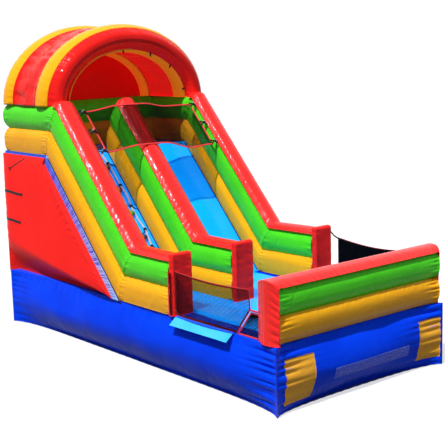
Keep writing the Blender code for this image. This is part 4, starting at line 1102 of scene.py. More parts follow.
# The upright cushion on a wall's landing end, rolled over at its top
def makeWallEnd(node, x, seed):
    end = {"depth": 0.08, "behind": 0.014, "height": 0.828, "shoulder": 0.04, "topWidth": 0.9,
           "topDepth": 0.6, "bulge": 0.036}
    look = {"seamDepth": 0.006, "seamPeak": 0.035, "seamSpacing": 0.12, "endDepth": 0.004, "endPeak": 0.02,
            "sway": 0.012, "slant": 0.1, "flat": 1, "creases": 0}
    back = np.array([x, lines["frontY"] + end["behind"], lines["baseZ"] + lines["gap"]])
    across, forward = np.array([1, 0, 0]), np.array([0, -1, 0])
    stations = [station(back, across, forward)]
    for turn in np.linspace(0, math.pi / 2, 7):
        lift = end["height"] - end["shoulder"] * (1 - math.sin(turn))
        width = 1 - (1 - end["topWidth"]) * (1 - math.cos(turn))
        depth = 1 - (1 - end["topDepth"]) * (1 - math.cos(turn))
        stations.append(station(back + (0, 0, lift), across * width, forward * depth))
    profile = tubeProfile(wallTube["width"], end["depth"] + end["behind"], end["bulge"], 0.006, 30)
    rows, along, _ = refined(stations, 0.010)
    toEnd = np.minimum(along, along[-1] - along)
    grid, uv, near = puckered(rows, along, toEnd, profile, {**vinylLook, **look}, seed)
    finishSweep(node, grid, uv, near, finish["red"], "red_vinyl")


def makeRails():
    tubes = wallProfiles()
    cornerY = lines["rearY"] - wallTube["width"] / 2
    for level, shade in enumerate(("yellow", "green")):
        rise = level * wallTube["height"] + lines["gap"]
        corners = {}
        for side, sign in (("left", -1), ("right", 1)):
            place = (sign * lines["sideX"], cornerY, lines["deckZ"] + rise)
            corner = corners[side] = station(place, (1, sign, 0), (0, 0, 1))
            lean = lines["lean"] if sign > 0 else 0
            front = wallStation("deck", sign * lines["sideX"], level, lean)
            inflated(f"deck_{side}_rail_{shade}", trimmed([front, corner]), tubes[level], finish[shade],
                     f"{shade}_vinyl", 80 + 4 * level + sign, endSeed=60 + level)
        left = corners["left"] * np.array([[1], [-1], [1]])
        inflated(f"deck_rear_rail_{shade}", trimmed([left, corners["right"]]), tubes[level], finish[shade],
                 f"{shade}_vinyl", 90 + level)


# Hood


hood = {"height": 1.168, "thick": 0.369, "frontY": 1.70, "red": 0.14, "yellow": 0.33, "roof": 0.69,
        "ringInset": 0.035, "yellowRise": 0.03, "yellowDrop": 0.045, "yellowBulge": 0.045, "roofBulge": 0.02,
        "steps": 150}


def hoodStation(angle, y, along, inset=0, drop=0):
    out = np.array([math.cos(angle), 0, math.sin(angle)])
    outer = out * (lines["outerX"] - inset, 0, hood["height"] - inset)
    inner = out * (lines["outerX"] - hood["thick"] - drop, 0, hood["height"] - hood["thick"] - drop)
    middle = (outer + inner) / 2 + np.array([0, y, railTop + lines["gap"]])
    return station(middle, (outer - inner) / hood["thick"], (0, along, 0))


def makeHood():
    angles = np.linspace(0, math.pi, hood["steps"] + 1)
    gap = lines["gap"]
    seam = hood["frontY"] + hood["red"]
    ringLook = {"seamDepth": 0.014, "seamPeak": 0.05, "seamSpacing": 0.072, "slant": 0, "sway": 0.006,
                "endDepth": 0.008, "creases": 0}
    ring = [hoodStation(angle, seam - gap, -1, hood["ringInset"]) for angle in angles]
    sweepArch("front_red_arch", ring, capProfile(hood["thick"], hood["red"] - gap), finish["hoodRed"],
              "red_vinyl", 101, ringLook)
    roofFront = seam + hood["yellow"]
    roofRear = roofFront + hood["roof"]
    plump = (hood["yellowBulge"], -hood["yellowRise"], hood["yellowDrop"])
    arches = (
        ("front_yellow_arch", "hoodYellow", "yellow_vinyl", seam, roofFront, plump),
        ("red_roof", "roof", "red_vinyl", roofFront, roofRear, (hood["roofBulge"], 0, 0)),
        ("rear_yellow_arch", "hoodYellow", "yellow_vinyl", roofRear, lines["rearY"], plump),
    )
    archLook = {"seamDepth": 0.012, "seamPeak": 0.035, "seamSpacing": 0.07, "slant": 0.1, "sway": 0.008,
                "endDepth": 0.010}
    for number, (node, shade, slot, start, end, (bulge, inset, lower)) in enumerate(arches):
        stations = [hoodStation(angle, start, 1, inset, lower) for angle in angles]
        look = dict(archLook)
        if shade == "roof":
            look.update({"seamDepth": 0.034, "seamPeak": 0.13, "seamSpacing": 0.20, "sway": 0.06,
                         "creases": 0.03})
        # The section's sides face outwards and inwards, and its flats meet the next arches
        profile = tubeProfile(hood["thick"], end - start - gap, bulge, 0.010)
        sweepArch(node, stations, profile, finish[shade], slot, 103 + number, look)
    makeBackWall()


def sweepArch(node, stations, profile, material, slot, seed, look):
    rows = np.array(stations)
    steps = np.linalg.norm(np.diff(rows[:, 0], axis=0), axis=1)
    along = np.concatenate([[0], np.cumsum(steps)])
    toEnd = np.minimum(along, along[-1] - along)
    grid, uv, near = puckered(rows, along, toEnd, profile, {**vinylLook, **look}, seed)
    # Painted glow on the faces that look into the hood
    inside = np.broadcast_to((profile["normal"][:, 0] < -0.3) * 1.0, grid.shape[:2])
    return finishSweep(node, grid, uv, near, material, slot, inside)


def makeBackWall():
    wall = {"depth": 0.05, "crown": 0.01, "rearGap": 0.06, "sewnIn": 0.025}
    # The wall's edge is sewn into the arch, so it reaches a little past the arch's inner side
    innerX = lines["outerX"] - hood["thick"] - hood["yellowDrop"] + wall["sewnIn"]
    innerZ = hood["height"] - hood["thick"] - hood["yellowDrop"] + wall["sewnIn"]
    y = lines["rearY"] - wall["rearGap"]
    outline = []
    for angle in np.linspace(0, math.pi, 37):
        outline.append((innerX * math.cos(angle), y, railTop + lines["gap"] + innerZ * math.sin(angle)))
    look = {"pitch": 0.03, "rings": 30, "spacing": 0.09, "shoulder": 0.08, "pucker": 0.008, "peak": 0.04,
            "sway": 0.006, "hill": 0.4, "axes": (np.array([1, 0, 0]), np.array([0, 0, 1]))}
    # Its finish gives the whole back wall a painted glow
    pillowPanel("hood_back_wall", outline, (0, -1, 0), wall["depth"], wall["crown"], finish["redDark"],
                "red_vinyl", 108, look)


# Bumper


def makeBumper():
    # The right end is narrower, by one share at its foot and another at its corner
    bumper = {"depth": 0.38, "tube": 0.351, "bulge": 0.06, "cap": 0.085, "endShare": 0.8, "half": 1.525,
              "front": -3.15, "step": 0.008, "leans": {"yellow": 0.045, "green": 0.02}, "leanFrom": 0.12,
              "rightFoot": 0.84, "rightCorner": 0.96}
    innerX = bumper["half"] - bumper["cap"] * bumper["endShare"]
    middleY = bumper["front"] + bumper["depth"] / 2
    gap = lines["gap"]
    look = {"seamDepth": 0.007, "seamSpacing": 0.085, "endDepth": 0.036, "endPeak": 0.05, "endSpacing": 0.06}
    profile = tubeProfile(bumper["depth"], bumper["tube"] - gap, bumper["bulge"], bumper["step"])
    innerY = bumper["depth"] / 2 - bumper["bulge"]
    for level, (shade, lean) in enumerate(bumper["leans"].items()):
        z = lines["baseZ"] + level * bumper["tube"] + gap

        # Between its ends the front leans, so that its lower edge stands further back
        def drawIn(toEnd, points, lean=lean):
            share = np.clip((innerY - points[..., 0]) / (2 * innerY), 0, 1)
            middle = 1 - np.exp(-toEnd / bumper["leanFrom"])
            return -lean * (1 - points[..., 1] / bumper["tube"]) * share * middle

        ends = [station((sign * innerX, middleY, z), (0, 1, 0), (0, 0, 1)) for sign in (-1, 1)]
        inflated(f"bumper_{shade}_tube", trimmed(ends), profile, finish[shade], f"{shade}_vinyl",
                 120 + level, {**look, "drawIn": drawIn})
    seamZ = lines["baseZ"] + 2 * bumper["tube"] + gap
    stations = []
    for sign in (-1, 1):
        outward = np.array([sign * bumper["endShare"], 0, 0])
        foot = station((sign * innerX, middleY, lines["baseZ"] + gap), (0, 1, 0), outward)
        corner = station((sign * innerX, middleY, seamZ), (0, 1, 0), outward + (0, 0, 1))
        if sign > 0:
            foot = scaledAcross(foot, bumper["rightFoot"])
            corner = scaledAcross(corner, bumper["rightCorner"])
        stations += [foot, corner] if sign < 0 else [corner, foot]
    upright = 2 * bumper["tube"]

    # The upright ends are puckered more than the top
    def seamGain(along):
        return 0.5 + 3 * ((along < upright) | (along > along[-1] - upright))

    capLook = {"seamDepth": 0.008, "seamPeak": 0.04, "seamSpacing": 0.075, "endDepth": 0.010, "sway": 0.006,
               "seamGain": seamGain}
    profile = capProfile(bumper["depth"], bumper["cap"], bumper["step"])
    inflated("bumper_red_cap", stations, profile, finish["capRed"], "red_vinyl", 125, capLook)


# Nets and ribbons


# Each guide line becomes a strand: a flat tape that lies in a net's surface, or a round cord
def strandTree(name, flat):
    kinds = {"Width": "NodeSocketFloat", "Thickness": "NodeSocketFloat",
             "Surface normal": "NodeSocketVector"}
    if not flat:
        kinds = {"Radius": "NodeSocketFloat", "Sides": "NodeSocketInt"}
    kinds["Finish"] = "NodeSocketMaterial"
    tree = bpy.data.node_groups.new(name, "GeometryNodeTree")
    tree.interface.new_socket(name="Geometry", in_out="INPUT", socket_type="NodeSocketGeometry")
    sockets = {key: tree.interface.new_socket(name=key, in_out="INPUT", socket_type=kind)
               for key, kind in kinds.items()}
    tree.interface.new_socket(name="Geometry", in_out="OUTPUT", socket_type="NodeSocketGeometry")
    enter = addNode(tree, "NodeGroupInput")
    line = addNode(tree, "GeometryNodeMeshToCurve", links={0: enter.outputs[0]})
    if flat:
        line = addNode(tree, "GeometryNodeSetCurveNormal", mode="FREE", links={
            "Curve": line.outputs[0], "Normal": enter.outputs["Surface normal"]})
        ring = addNode(tree, "GeometryNodeCurvePrimitiveQuadrilateral", links={
            "Width": enter.outputs["Thickness"], "Height": enter.outputs["Width"]})
    else:
        ring = addNode(tree, "GeometryNodeCurvePrimitiveCircle", links={
            "Radius": enter.outputs["Radius"], "Resolution": enter.outputs["Sides"]})
    strand = addNode(tree, "GeometryNodeCurveToMesh", {"Fill Caps": True},
                     {"Curve": line.outputs[0], "Profile Curve": ring.outputs[0]})
    real = addNode(tree, "GeometryNodeRealizeInstances", links={0: strand.outputs[0]})
    painted = addNode(tree, "GeometryNodeSetMaterial",
                      links={"Geometry": real.outputs[0], "Material": enter.outputs["Finish"]})
    addNode(tree, "NodeGroupOutput", links={0: painted.outputs[0]})
    return tree, {key: socket.identifier for key, socket in sockets.items()}


cords = strandTree("roundCords", flat=False)
tapes = strandTree("flatTapes", flat=True)


# Runs a node tree on a guide of lines and returns the result as a plain mesh
def plainMesh(name, points, edges, tree, inputs):
    guideMesh = bpy.data.meshes.new(name + "_guide")
    guideMesh.from_pydata([tuple(map(float, p)) for p in points], edges, [])
    guide = bpy.data.objects.new(name + "_guide", guideMesh)
    scene.collection.objects.link(guide)
    modifier = guide.modifiers.new("made", "NODES")
    modifier.node_group = tree
    for identifier, value in inputs.items():
        modifier[identifier] = value
    bpy.context.view_layer.update()
    graph = bpy.context.evaluated_depsgraph_get()
    mesh = bpy.data.meshes.new_from_object(guide.evaluated_get(graph))
    bpy.data.objects.remove(guide)
    mesh.name = name
    return mesh


# Strands along each list of points, as one piece. The kind is cords or tapes
def strandMesh(name, lists, kind, values, material, body="slide", smooth=False):
    points, edges = [], []
    for places in lists:
        first = len(points)
        points.extend(places)
        edges.extend((first + i, first + i + 1) for i in range(len(places) - 1))
    tree, sockets = kind
    inputs = {sockets[key]: value for key, value in {**values, "Finish": material}.items()}
    mesh = plainMesh(name, points, edges, tree, inputs)
    if smooth:
        mesh.shade_smooth()
    return linkPiece(name, mesh, body)


def cord(name, lists, radius, sides, material, body="slide"):
    return strandMesh(name, lists, cords, {"Radius": radius, "Sides": sides}, material, body, smooth=True)


# A flat rounded band along the points. The normals are square to its flat side
def ribbonGrid(points, normals, width, thick, loop=False, sides=10):
    points, normals = np.asarray(points, float), np.asarray(normals, float)
    if loop:
        ahead = np.roll(points, -1, axis=0) - np.roll(points, 1, axis=0)
    else:
        ahead = np.gradient(points, axis=0)
    ahead /= np.maximum(np.linalg.norm(ahead, axis=1, keepdims=True), 1e-9)
    across = np.cross(normals, ahead)
    across /= np.maximum(np.linalg.norm(across, axis=1, keepdims=True), 1e-9)
    angle = np.linspace(0, 2 * math.pi, sides, endpoint=False) + math.pi / sides
    u = np.sign(np.cos(angle)) * np.abs(np.cos(angle)) ** 0.55 * width / 2
    v = np.sign(np.sin(angle)) * np.abs(np.sin(angle)) ** 0.8 * thick / 2
    return points[:, None] + across[:, None] * u[None, :, None] + normals[:, None] * v[None, :, None]


def addRibbon(name, points, normals, width, thick, material, body="slide", loop=False):
    grid = ribbonGrid(points, normals, width, thick, loop)
    count, around = grid.shape[:2]
    faces = gridFaces(count, around, closed=True).tolist()
    if loop:
        faces += loopFaces(count, around)
    else:
        faces += endCaps(count, around)
    return addPiece(name, grid, faces, material, body)


# The guide lines of both directions, one set just above the other
def netLists(place, size, settings, shift=0.0, back=0.0):
    across, up = (max(3, round(length / settings["pitch"])) for length in size)
    lift = settings["thick"] * 0.45
    lists = []
    for i in range(1, across):
        line = (place((i + shift) / across, t) for t in np.linspace(0, 1, settings["bends"]))
        lists.append([p + n * (back + lift) for p, n in line if (i + shift) < across])
    for j in range(1, up):
        line = (place(s, (j + shift) / up) for s in np.linspace(0, 1, 2 * settings["bends"]))
        lists.append([p + n * (back - lift) for p, n in line if (j + shift) < up])
    return lists


def tapeValues(place, settings):
    return {"Width": settings["width"], "Thickness": settings["thick"],
            "Surface normal": tuple(float(v) for v in place(0.5, 0.5)[1])}


# A mesh panel of fine flat strands and its red binding, as two pieces
def makeNet(node, place, size, settings, body="slide"):
    piece = strandMesh(node + "_mesh", netLists(place, size, settings), tapes, tapeValues(place, settings),
                       finish["net"], body)
    standFor(piece, "net_mesh", node)
    inset = [settings["binding"] / 2 / length for length in size]
    lowS, highS, lowT, highT = inset[0], 1 - inset[0], inset[1], 1 - inset[1]
    shares = np.linspace(0, 1, 50)[:-1]
    loop = [place(lowS + s * (highS - lowS), lowT) for s in shares]
    loop += [place(highS, lowT + t * (highT - lowT)) for t in shares]
    loop += [place(highS - s * (highS - lowS), highT) for s in shares]
    loop += [place(lowS, highT - t * (highT - lowT)) for t in shares]
    away = settings.get("bindingBack", 0)
    band = addRibbon(node + "_binding", [p - n * away for p, n in loop], [n for p, n in loop],
                     settings["binding"], settings["bindingThick"], finish["binding"], body, loop=True)
    return piece, band


# Real mesh has a strand about every 2 mm. It is drawn at eight times that, with the same share of open area
netLook = {"pitch": 0.0165, "width": 0.0028, "thick": 0.0040, "bends": 14, "binding": 0.027,
           "bindingThick": 0.011}


topNet = {"half": 1.0, "top": 2.84, "length": 0.80, "sag": 0.11, "crest": 0.8116, "droop": 0.05,
          "droopAt": 0.78, "droopWide": 0.12}


# Where the net's surface is at shares of its width and length, and its normal, as for each net below
def topNetPlace(s, t):
    centreHalf = wallTube["width"] / 2
    span = topNet["half"] - abs(lines["centreX"]) - centreHalf

    def heightAt(x):
        beside = max(0.0, abs(x - lines["centreX"]) - centreHalf)
        return topNet["crest"] - topNet["sag"] * math.sin(math.pi / 2 * min(1, beside / span)) ** 2

    x = topNet["half"] * (2 * s - 1)
    slope = (heightAt(x + centreHalf / 5) - heightAt(x - centreHalf / 5)) / (2 * centreHalf / 5)
    normal = np.array([-slope, -math.sin(slopeAngle), math.cos(slopeAngle)])
    hang = s ** 3 + math.exp(-((s - topNet["droopAt"]) / topNet["droopWide"]) ** 2)
    length = topNet["length"] + topNet["droop"] * hang
    return slopePoint(topNet["top"] - length * (1 - t), heightAt(x), x), normal / np.linalg.norm(normal)


def makeTopNet():
    piece, band = makeNet("top_net", topNetPlace, (2 * topNet["half"], topNet["length"]), netLook)
    tie = {"shares": (0.04, 0.5, 0.96), "width": 0.022, "thick": 0.005, "high": 0.735, "inwards": 0.15,
           "sag": 0.012, "bowAt": 0.25}
    for side, sign in (("left", -1), ("right", 1)):
        for number, share in enumerate(tie["shares"]):
            inner = topNetPlace(0.5 + sign * 0.495, share)[0]
            lean = lines["lean"] if sign > 0 else 0
            outer = slopePoint(topNet["top"] - topNet["length"] * (1 - share), tie["high"],
                               sign * (lines["sideX"] - tie["inwards"]) - lean)
            sag = [inner + (outer - inner) * k - slopeUp * tie["sag"] * math.sin(math.pi * k)
                   for k in np.linspace(0, 1, 9)]
            addRibbon(f"top_net_tie_{side}_{number}", sag, [slopeUp] * len(sag), tie["width"], tie["thick"],
                      finish["strap"])
            knot = inner + (outer - inner) * tie["bowAt"] + slopeUp * tie["sag"]
            makeBow(f"top_net_bow_{side}_{number}", knot, sign)


# The knotted ends of a tie: two cords that cross, with a pale one between them
def makeBow(name, centre, sign):
    bow = {"inwards": 0.060, "outwards": 0.085, "rise": 0.014, "fall": 0.008, "radius": 0.011,
           "across": 0.85, "along": 0.55, "paleRadius": 0.004, "paleAhead": 0.03, "paleOut": 0.05,
           "paleRise": (0.022, 0.024)}
    lists = []
    for tilt in (-1, 1):
        direction = np.array([sign * bow["across"], 0, 0]) + slopeAhead * tilt * bow["along"]
        lists.append([centre - direction * bow["inwards"], centre + slopeUp * bow["rise"],
                      centre + direction * bow["outwards"] - slopeUp * bow["fall"]])
    cord(name, lists, bow["radius"], 6, finish["strap"])
    pale = [centre + slopeUp * bow["paleRise"][0] + slopeAhead * bow["paleAhead"],
            centre + slopeUp * bow["paleRise"][1] + np.array([sign * bow["paleOut"], 0, 0])]
    cord(name + "_pale", [pale], bow["paleRadius"], 6, finish["thread"])


def doorPlace(s, t):
    door = {"x": -1.45, "hingeY": -1.1276, "bottom": 0.875, "top": 1.47, "tieY": -2.6206, "cut": 0.27,
            "tieShare": 0.5714, "sag": 0.035, "corner": 0.13}
    if t < door["tieShare"]:
        free = door["tieY"] + door["cut"] * (1 - t / door["tieShare"])
    else:
        free = door["tieY"] + 0.015 * (t - door["tieShare"]) / (1 - door["tieShare"])
    away = max(0.0, door["corner"] - s * (door["hingeY"] - free)) / door["corner"]
    low = door["bottom"] + door["corner"] * 0.6 * (1 - math.sqrt(max(0.0, 1 - away ** 2)))
    high = door["top"] - door["sag"] * math.sin(math.pi * s)
    belly = -0.012 * math.sin(math.pi * s) * math.sin(math.pi * t)
    place = np.array([door["x"] + belly, door["hingeY"] + (free - door["hingeY"]) * s,
                      low + (high - low) * t])
    return place, leftwards


def gussetPlace(s, t):
    gusset = {"x": -1.432, "front": -2.7697, "foot": 0.425, "top": 0.15, "low": 0.8603, "apex": 1.185}
    width = gusset["foot"] + (gusset["top"] - gusset["foot"]) * t
    place = np.array([gusset["x"], gusset["front"] + width * s,
                      gusset["low"] + (gusset["apex"] - gusset["low"]) * t])
    return place, leftwards


def sideNetPlace(s, t):
    net = {"x": 1.45, "front": -2.7697, "rear": -1.287, "low": 0.8603, "top": 1.53, "sag": 0.06}
    high = net["top"] - net["sag"] * math.sin(math.pi * s)
    belly = 0.01 * math.sin(math.pi * s) * math.sin(math.pi * t)
    place = np.array([net["x"] + belly, net["front"] + (net["rear"] - net["front"]) * s,
                      net["low"] + (high - net["low"]) * t])
    return place, -leftwards


# The fixed strip of netting that carries the door net round the wall's end
def makeDoorHem(settings):
    hem = {"x": -1.4985, "frontY": -1.124, "rearY": -1.052, "bottom": 0.875, "top": 1.452, "strand": 0.006,
           "binding": 0.024, "bindingThick": 0.006}
    width, height = hem["rearY"] - hem["frontY"], hem["top"] - hem["bottom"]

    def place(s, t):
        return np.array([hem["x"], hem["frontY"] + width * s, hem["bottom"] + height * t]), leftwards

    netting = {**settings, "width": hem["strand"]}
    strandMesh("entry_door_hem_mesh", netLists(place, (width, height), netting), tapes,
               tapeValues(place, netting), finish["net"])
    edge = [place(1, t)[0] for t in np.linspace(-0.01, 1.0, 30)]
    addRibbon("entry_door_hem_binding", edge, [leftwards] * len(edge), hem["binding"], hem["bindingThick"],
              finish["binding"])


def makeLandingNets():
    fine = {**netLook, "pitch": 0.017, "width": 0.0054, "thick": 0.0008, "bends": 10}
    thick = {**fine, "pitch": netLook["pitch"], "width": 0.0120}
    # Sizes as drawn. Two nets are cut to another size, with a cut corner and a narrow end
    door = {"drawn": (1.493, 0.595), "tieWidth": 0.028,
            "tie": ((-1.45, -2.70, 1.212), (-1.45, -2.765, 1.212))}
    gusset = {"drawn": (0.29, 0.325), "width": 0.0095, "binding": 0.022}
    side = {"drawn": (1.483, 0.67), "back": -0.006, "tieWidth": 0.024,
            "tie": ((1.45, -1.29, 1.512), (1.45, -1.20, 1.545), (1.45, -1.128, 1.60))}

    piece, band = makeNet("entry_door_net", doorPlace, door["drawn"],
                          {**fine, "bindingThick": 0.007, "bindingBack": 0.005}, "entry_door")
    tie = addRibbon("entry_door_tie", [doorPlace(1, 0.57)[0], *door["tie"]], [leftwards] * 3,
                    door["tieWidth"], 0.006, finish["binding"], "entry_door")
    makeDoorHem(fine)
    piece, band = makeNet("entry_gusset_net", gussetPlace, gusset["drawn"],
                          {**fine, "width": gusset["width"], "binding": gusset["binding"]})
    piece, band = makeNet("side_net", sideNetPlace, side["drawn"], thick)
    addRibbon("side_net_tie", side["tie"], [-leftwards] * 3, side["tieWidth"], 0.006, finish["strap"])
    # One drawn layer lets the bright ground behind it through, so a second lies between its strands
    backing = strandMesh("side_net_backing", netLists(sideNetPlace, side["drawn"], thick, 0.5, side["back"]),
                         tapes, tapeValues(sideNetPlace, thick), finish["net"])
    standFor(backing, "net_mesh")


# Climbing rope and holds


# The route is given by x and y, on the lane from its top to its foot
rope = {"lift": 0.0168, "strand": 0.0064, "twist": 0.0062, "lay": 0.085, "step": 0.006, "route": [
    (-0.548, 1.86), (-0.535, 1.80), (-0.516, 1.71), (-0.512, 1.62), (-0.507, 1.50),
    (-0.498, 1.40), (-0.480, 1.30), (-0.508, 1.17), (-0.513, 1.08), (-0.507, 0.99),
    (-0.480, 0.86), (-0.499, 0.77), (-0.512, 0.68), (-0.516, 0.60), (-0.505, 0.52)]}


# Points along the smooth curve through the route, one about every step
def smoothRoute(route, step):
    route = [np.array(p, float) for p in route]
    ends = [2 * route[0] - route[1]] + route + [2 * route[-1] - route[-2]]
    found = []
    for a, b, c, d in zip(ends, ends[1:], ends[2:], ends[3:]):
        count = max(1, round(float(np.linalg.norm(c - b)) / step))
        for i in range(count):
            t = i / count
            pull = (c - a) * t + (2 * a - 5 * b + 4 * c - d) * t ** 2 + (3 * b - a - 3 * c + d) * t ** 3
            found.append(b + pull / 2)
    return np.array(found + [route[-1]])


def makeRope():
    route = [slopePoint((y - lines["footY"]) / math.cos(slopeAngle), 0, x) for x, y in rope["route"]]
    middle = smoothRoute([place + slopeUp * rope["lift"] for place in route], rope["step"])
    ahead = np.gradient(middle, axis=0)
    ahead /= np.linalg.norm(ahead, axis=1, keepdims=True)
    across = np.cross(ahead, slopeUp)
    steps = np.linalg.norm(np.diff(middle, axis=0), axis=1)
    run = np.concatenate([[0], np.cumsum(steps)])
    lists = []
    for strand in range(3):
        turn = 2 * math.pi * (run / rope["lay"] + strand / 3)
        offset = across * np.cos(turn)[:, None] + slopeUp * np.sin(turn)[:, None]
        lists.append(list(middle + offset * rope["twist"]))
    piece = cord("climbing_rope_twist", lists, rope["strand"], 7, finish["rope"])
    standFor(piece, "rope_fibre", "climbing_rope")
    makeRopeKnots(middle, ahead, across)


# A dark whipping knot round the rope at each place where it is sewn down
def makeRopeKnots(middle, ahead, across):
    knot = {"at": (2.32, 1.888, 1.485, 1.049, 0.74), "radius": 0.019, "cord": 0.008, "turns": 3,
            "half": 0.016, "tail": 0.10, "tailFall": (0.006, 0.014)}
    slope = (middle[:, 1] - lines["footY"]) / math.cos(slopeAngle)
    for number, place in enumerate(knot["at"]):
        i = int(np.argmin(np.abs(slope - place)))
        t = np.linspace(-1, 1, 40)
        turn = t * math.pi * knot["turns"]
        coil = middle[i] + ahead[i] * (t * knot["half"])[:, None] + (
            across[i] * np.cos(turn)[:, None] + slopeUp * np.sin(turn)[:, None]) * knot["radius"]
        sign = 1 if number % 2 else -1
        end = coil[-1]
        away = across[i] * sign + ahead[i] * 0.5
        tail = [end, end + away * knot["tail"] * 0.5 - slopeUp * knot["tailFall"][0],
                end + away * knot["tail"] - slopeUp * knot["tailFall"][1]]
        cord(f"rope_knot_{number + 1}", [list(coil), tail], knot["cord"], 6, finish["strap"])


# Four moulded grips, each with three finger lobes and a flared foot
def makeHolds():
    hold = {"x": -0.612, "length": 0.186, "width": 0.115, "height": 0.068, "topY": 1.67, "step": 0.30,
            "foot": 0.0046, "lobe": 0.10, "groove": 0.10, "grooveHalf": 0.012, "ripple": 0.05,
            "ripples": 110, "start": 0.02}
    shades = ("holdBlack", "holdRed", "holdGreen", "holdNavy")  # from the top down
    polar = np.linspace(hold["start"], math.pi / 2, 22)
    turn = np.linspace(0, 2 * math.pi, 72, endpoint=False)
    for number, shade in enumerate(shades):
        s = (hold["topY"] - number * hold["step"] - lines["footY"]) / math.cos(slopeAngle)
        centre = slopePoint(s, hold["foot"], hold["x"])
        lobes = 1 - hold["lobe"] * (0.5 + 0.5 * np.cos(turn * 3 + number))
        grid = []
        for angle in polar:
            flare = math.sin(angle) ** 0.75
            x = hold["length"] / 2 * flare * lobes * np.cos(turn)
            y = hold["width"] / 2 * flare * lobes * np.sin(turn)
            dent = hold["groove"] * np.exp(-((x / hold["grooveHalf"]) ** 2))
            dent = dent + hold["ripple"] * np.cos(x * hold["ripples"])
            z = hold["height"] * max(0.0, math.cos(angle)) ** 0.6 * (1 - dent)
            z = np.broadcast_to(z, x.shape)
            grid.append(centre - leftwards * x[:, None] + slopeAhead * y[:, None] + slopeUp * z[:, None])
        grid = np.array(grid)
        faces = gridFaces(len(polar), len(turn), closed=True).tolist() + endCaps(len(polar), len(turn))
        piece = addPiece(f"hold_{number + 1}_grip", grid, faces, finish[shade])
        standFor(piece, f"hold_{number + 1}", f"climbing_hold_{number + 1}")


# Entry flap and the rear fittings


def makeFlap():
    flap = {"rearY": -1.16, "frontY": -2.31, "hingeX": -1.475, "hingeZ": 0.8603, "length": 0.143,
            "droop": 39, "wave": 0.006, "thick": 0.0022, "gap": 0.0003, "above": 0.003, "lift": 0.002}
    droop = math.radians(flap["droop"])
    y, d = np.meshgrid(np.linspace(flap["rearY"], flap["frontY"], 110), np.linspace(0, 1, 14), indexing="ij")
    run = d * flap["length"]
    lift = flap["wave"] * d * (softNoise(y * 7, d * 1.5, 71) - 0.4) + flap["lift"]
    x = flap["hingeX"] - flap["gap"] - run * math.cos(droop) - lift * math.sin(droop)
    z = flap["hingeZ"] - run * math.sin(droop) + lift * math.cos(droop) + flap["above"]
    top = np.stack([x, y, z], -1)
    push = np.array([math.sin(droop), 0, -math.cos(droop)]) * flap["thick"]
    flat = (1.15, flap["length"])
    closedSheet("entry_flap_vinyl", top, push, finish["flap"], "flap_vinyl", "entry_flap", "entry_flap",
                flat)


# The rolled edge that people step over, between the flap and the door net
def makeSill():
    sill = {"x": -1.462, "bow": 0.022, "rearY": -1.19, "length": 1.13, "z": 0.866, "radius": 0.017}
    roll = []
    for s in np.linspace(0, 1, 40):
        x = sill["x"] - sill["bow"] * math.sin(math.pi * s)
        roll.append(np.array([x, sill["rearY"] - sill["length"] * s, sill["z"]]))
    cord("entry_sill_roll", [roll], sill["radius"], 12, finish["edge"])


# A thin sheet with both its faces and its rim
def closedSheet(name, top, push, material, slot, node, body, flat):
    rows, columns = top.shape[:2]
    points = np.vstack([top.reshape(-1, 3), (top + push).reshape(-1, 3)])
    uv = np.vstack([np.stack(np.meshgrid(np.linspace(0, flat[0], rows), np.linspace(0, flat[1], columns),
                                         indexing="ij"), -1).reshape(-1, 2)] * 2)
    piece = addPiece(name, points, slabFaces(rows, columns), material, body, uv=uv)
    if node:
        standFor(piece, slot, node)
    return piece


# The cloth sleeve that a blower's spout goes into, with a drawn hem at its mouth
def makeSleeve():
    sleeve = {"x": -0.75, "z": 0.27, "radius": 0.15, "inset": 0.003, "startY": 3.06, "endY": 3.5503,
              "wall": 0.0022, "ripple": 0.004, "hem": 0.006, "hemAt": 0.93, "hemHalf": 0.02, "gathers": 24,
              "gatherDepth": 0.3, "cordRadius": 0.0035, "cordAt": 0.157, "cordBack": 0.035}
    turn = np.linspace(0, 2 * math.pi, 97)[:-1]
    y = np.linspace(sleeve["startY"], sleeve["endY"], 60)
    share = (y - sleeve["startY"]) / (sleeve["endY"] - sleeve["startY"])
    hills = softNoise(turn[None, :] * 6 / math.pi, share[:, None] * 5, 81) - 0.5
    ripple = sleeve["ripple"] * hills * (1 - share[:, None])
    hem = sleeve["hem"] * np.exp(-(((share - sleeve["hemAt"]) / sleeve["hemHalf"]) ** 2))[:, None]
    gathers = 1 - sleeve["gatherDepth"] * np.cos(turn * sleeve["gathers"])
    radius = sleeve["radius"] - sleeve["inset"] + ripple + hem * gathers[None, :]
    outer = np.stack([sleeve["x"] + radius * np.cos(turn), np.broadcast_to(y[:, None], radius.shape),
                      sleeve["z"] + radius * np.sin(turn)], -1)
    faces = gridFaces(len(y), len(turn), closed=True)
    piece = addPiece("blower_sleeve_cloth", outer, faces.tolist(), finish["sleeve"], closed=False,
                     uv=np.stack(np.broadcast_arrays(turn[None, :] * sleeve["radius"], y[:, None]), -1))
    solid = piece.modifiers.new("cloth", "SOLIDIFY")
    solid.thickness = sleeve["wall"]
    solid.offset = -1
    standFor(piece, "sleeve_fabric", "blower_sleeve")
    drawn = np.stack([sleeve["x"] + sleeve["cordAt"] * np.cos(turn),
                      np.full(len(turn), sleeve["endY"] - sleeve["cordBack"]),
                      sleeve["z"] + sleeve["cordAt"] * np.sin(turn)], -1)
    cord("sleeve_drawcord", [[*drawn, drawn[0]]], sleeve["cordRadius"], 7, finish["thread"])


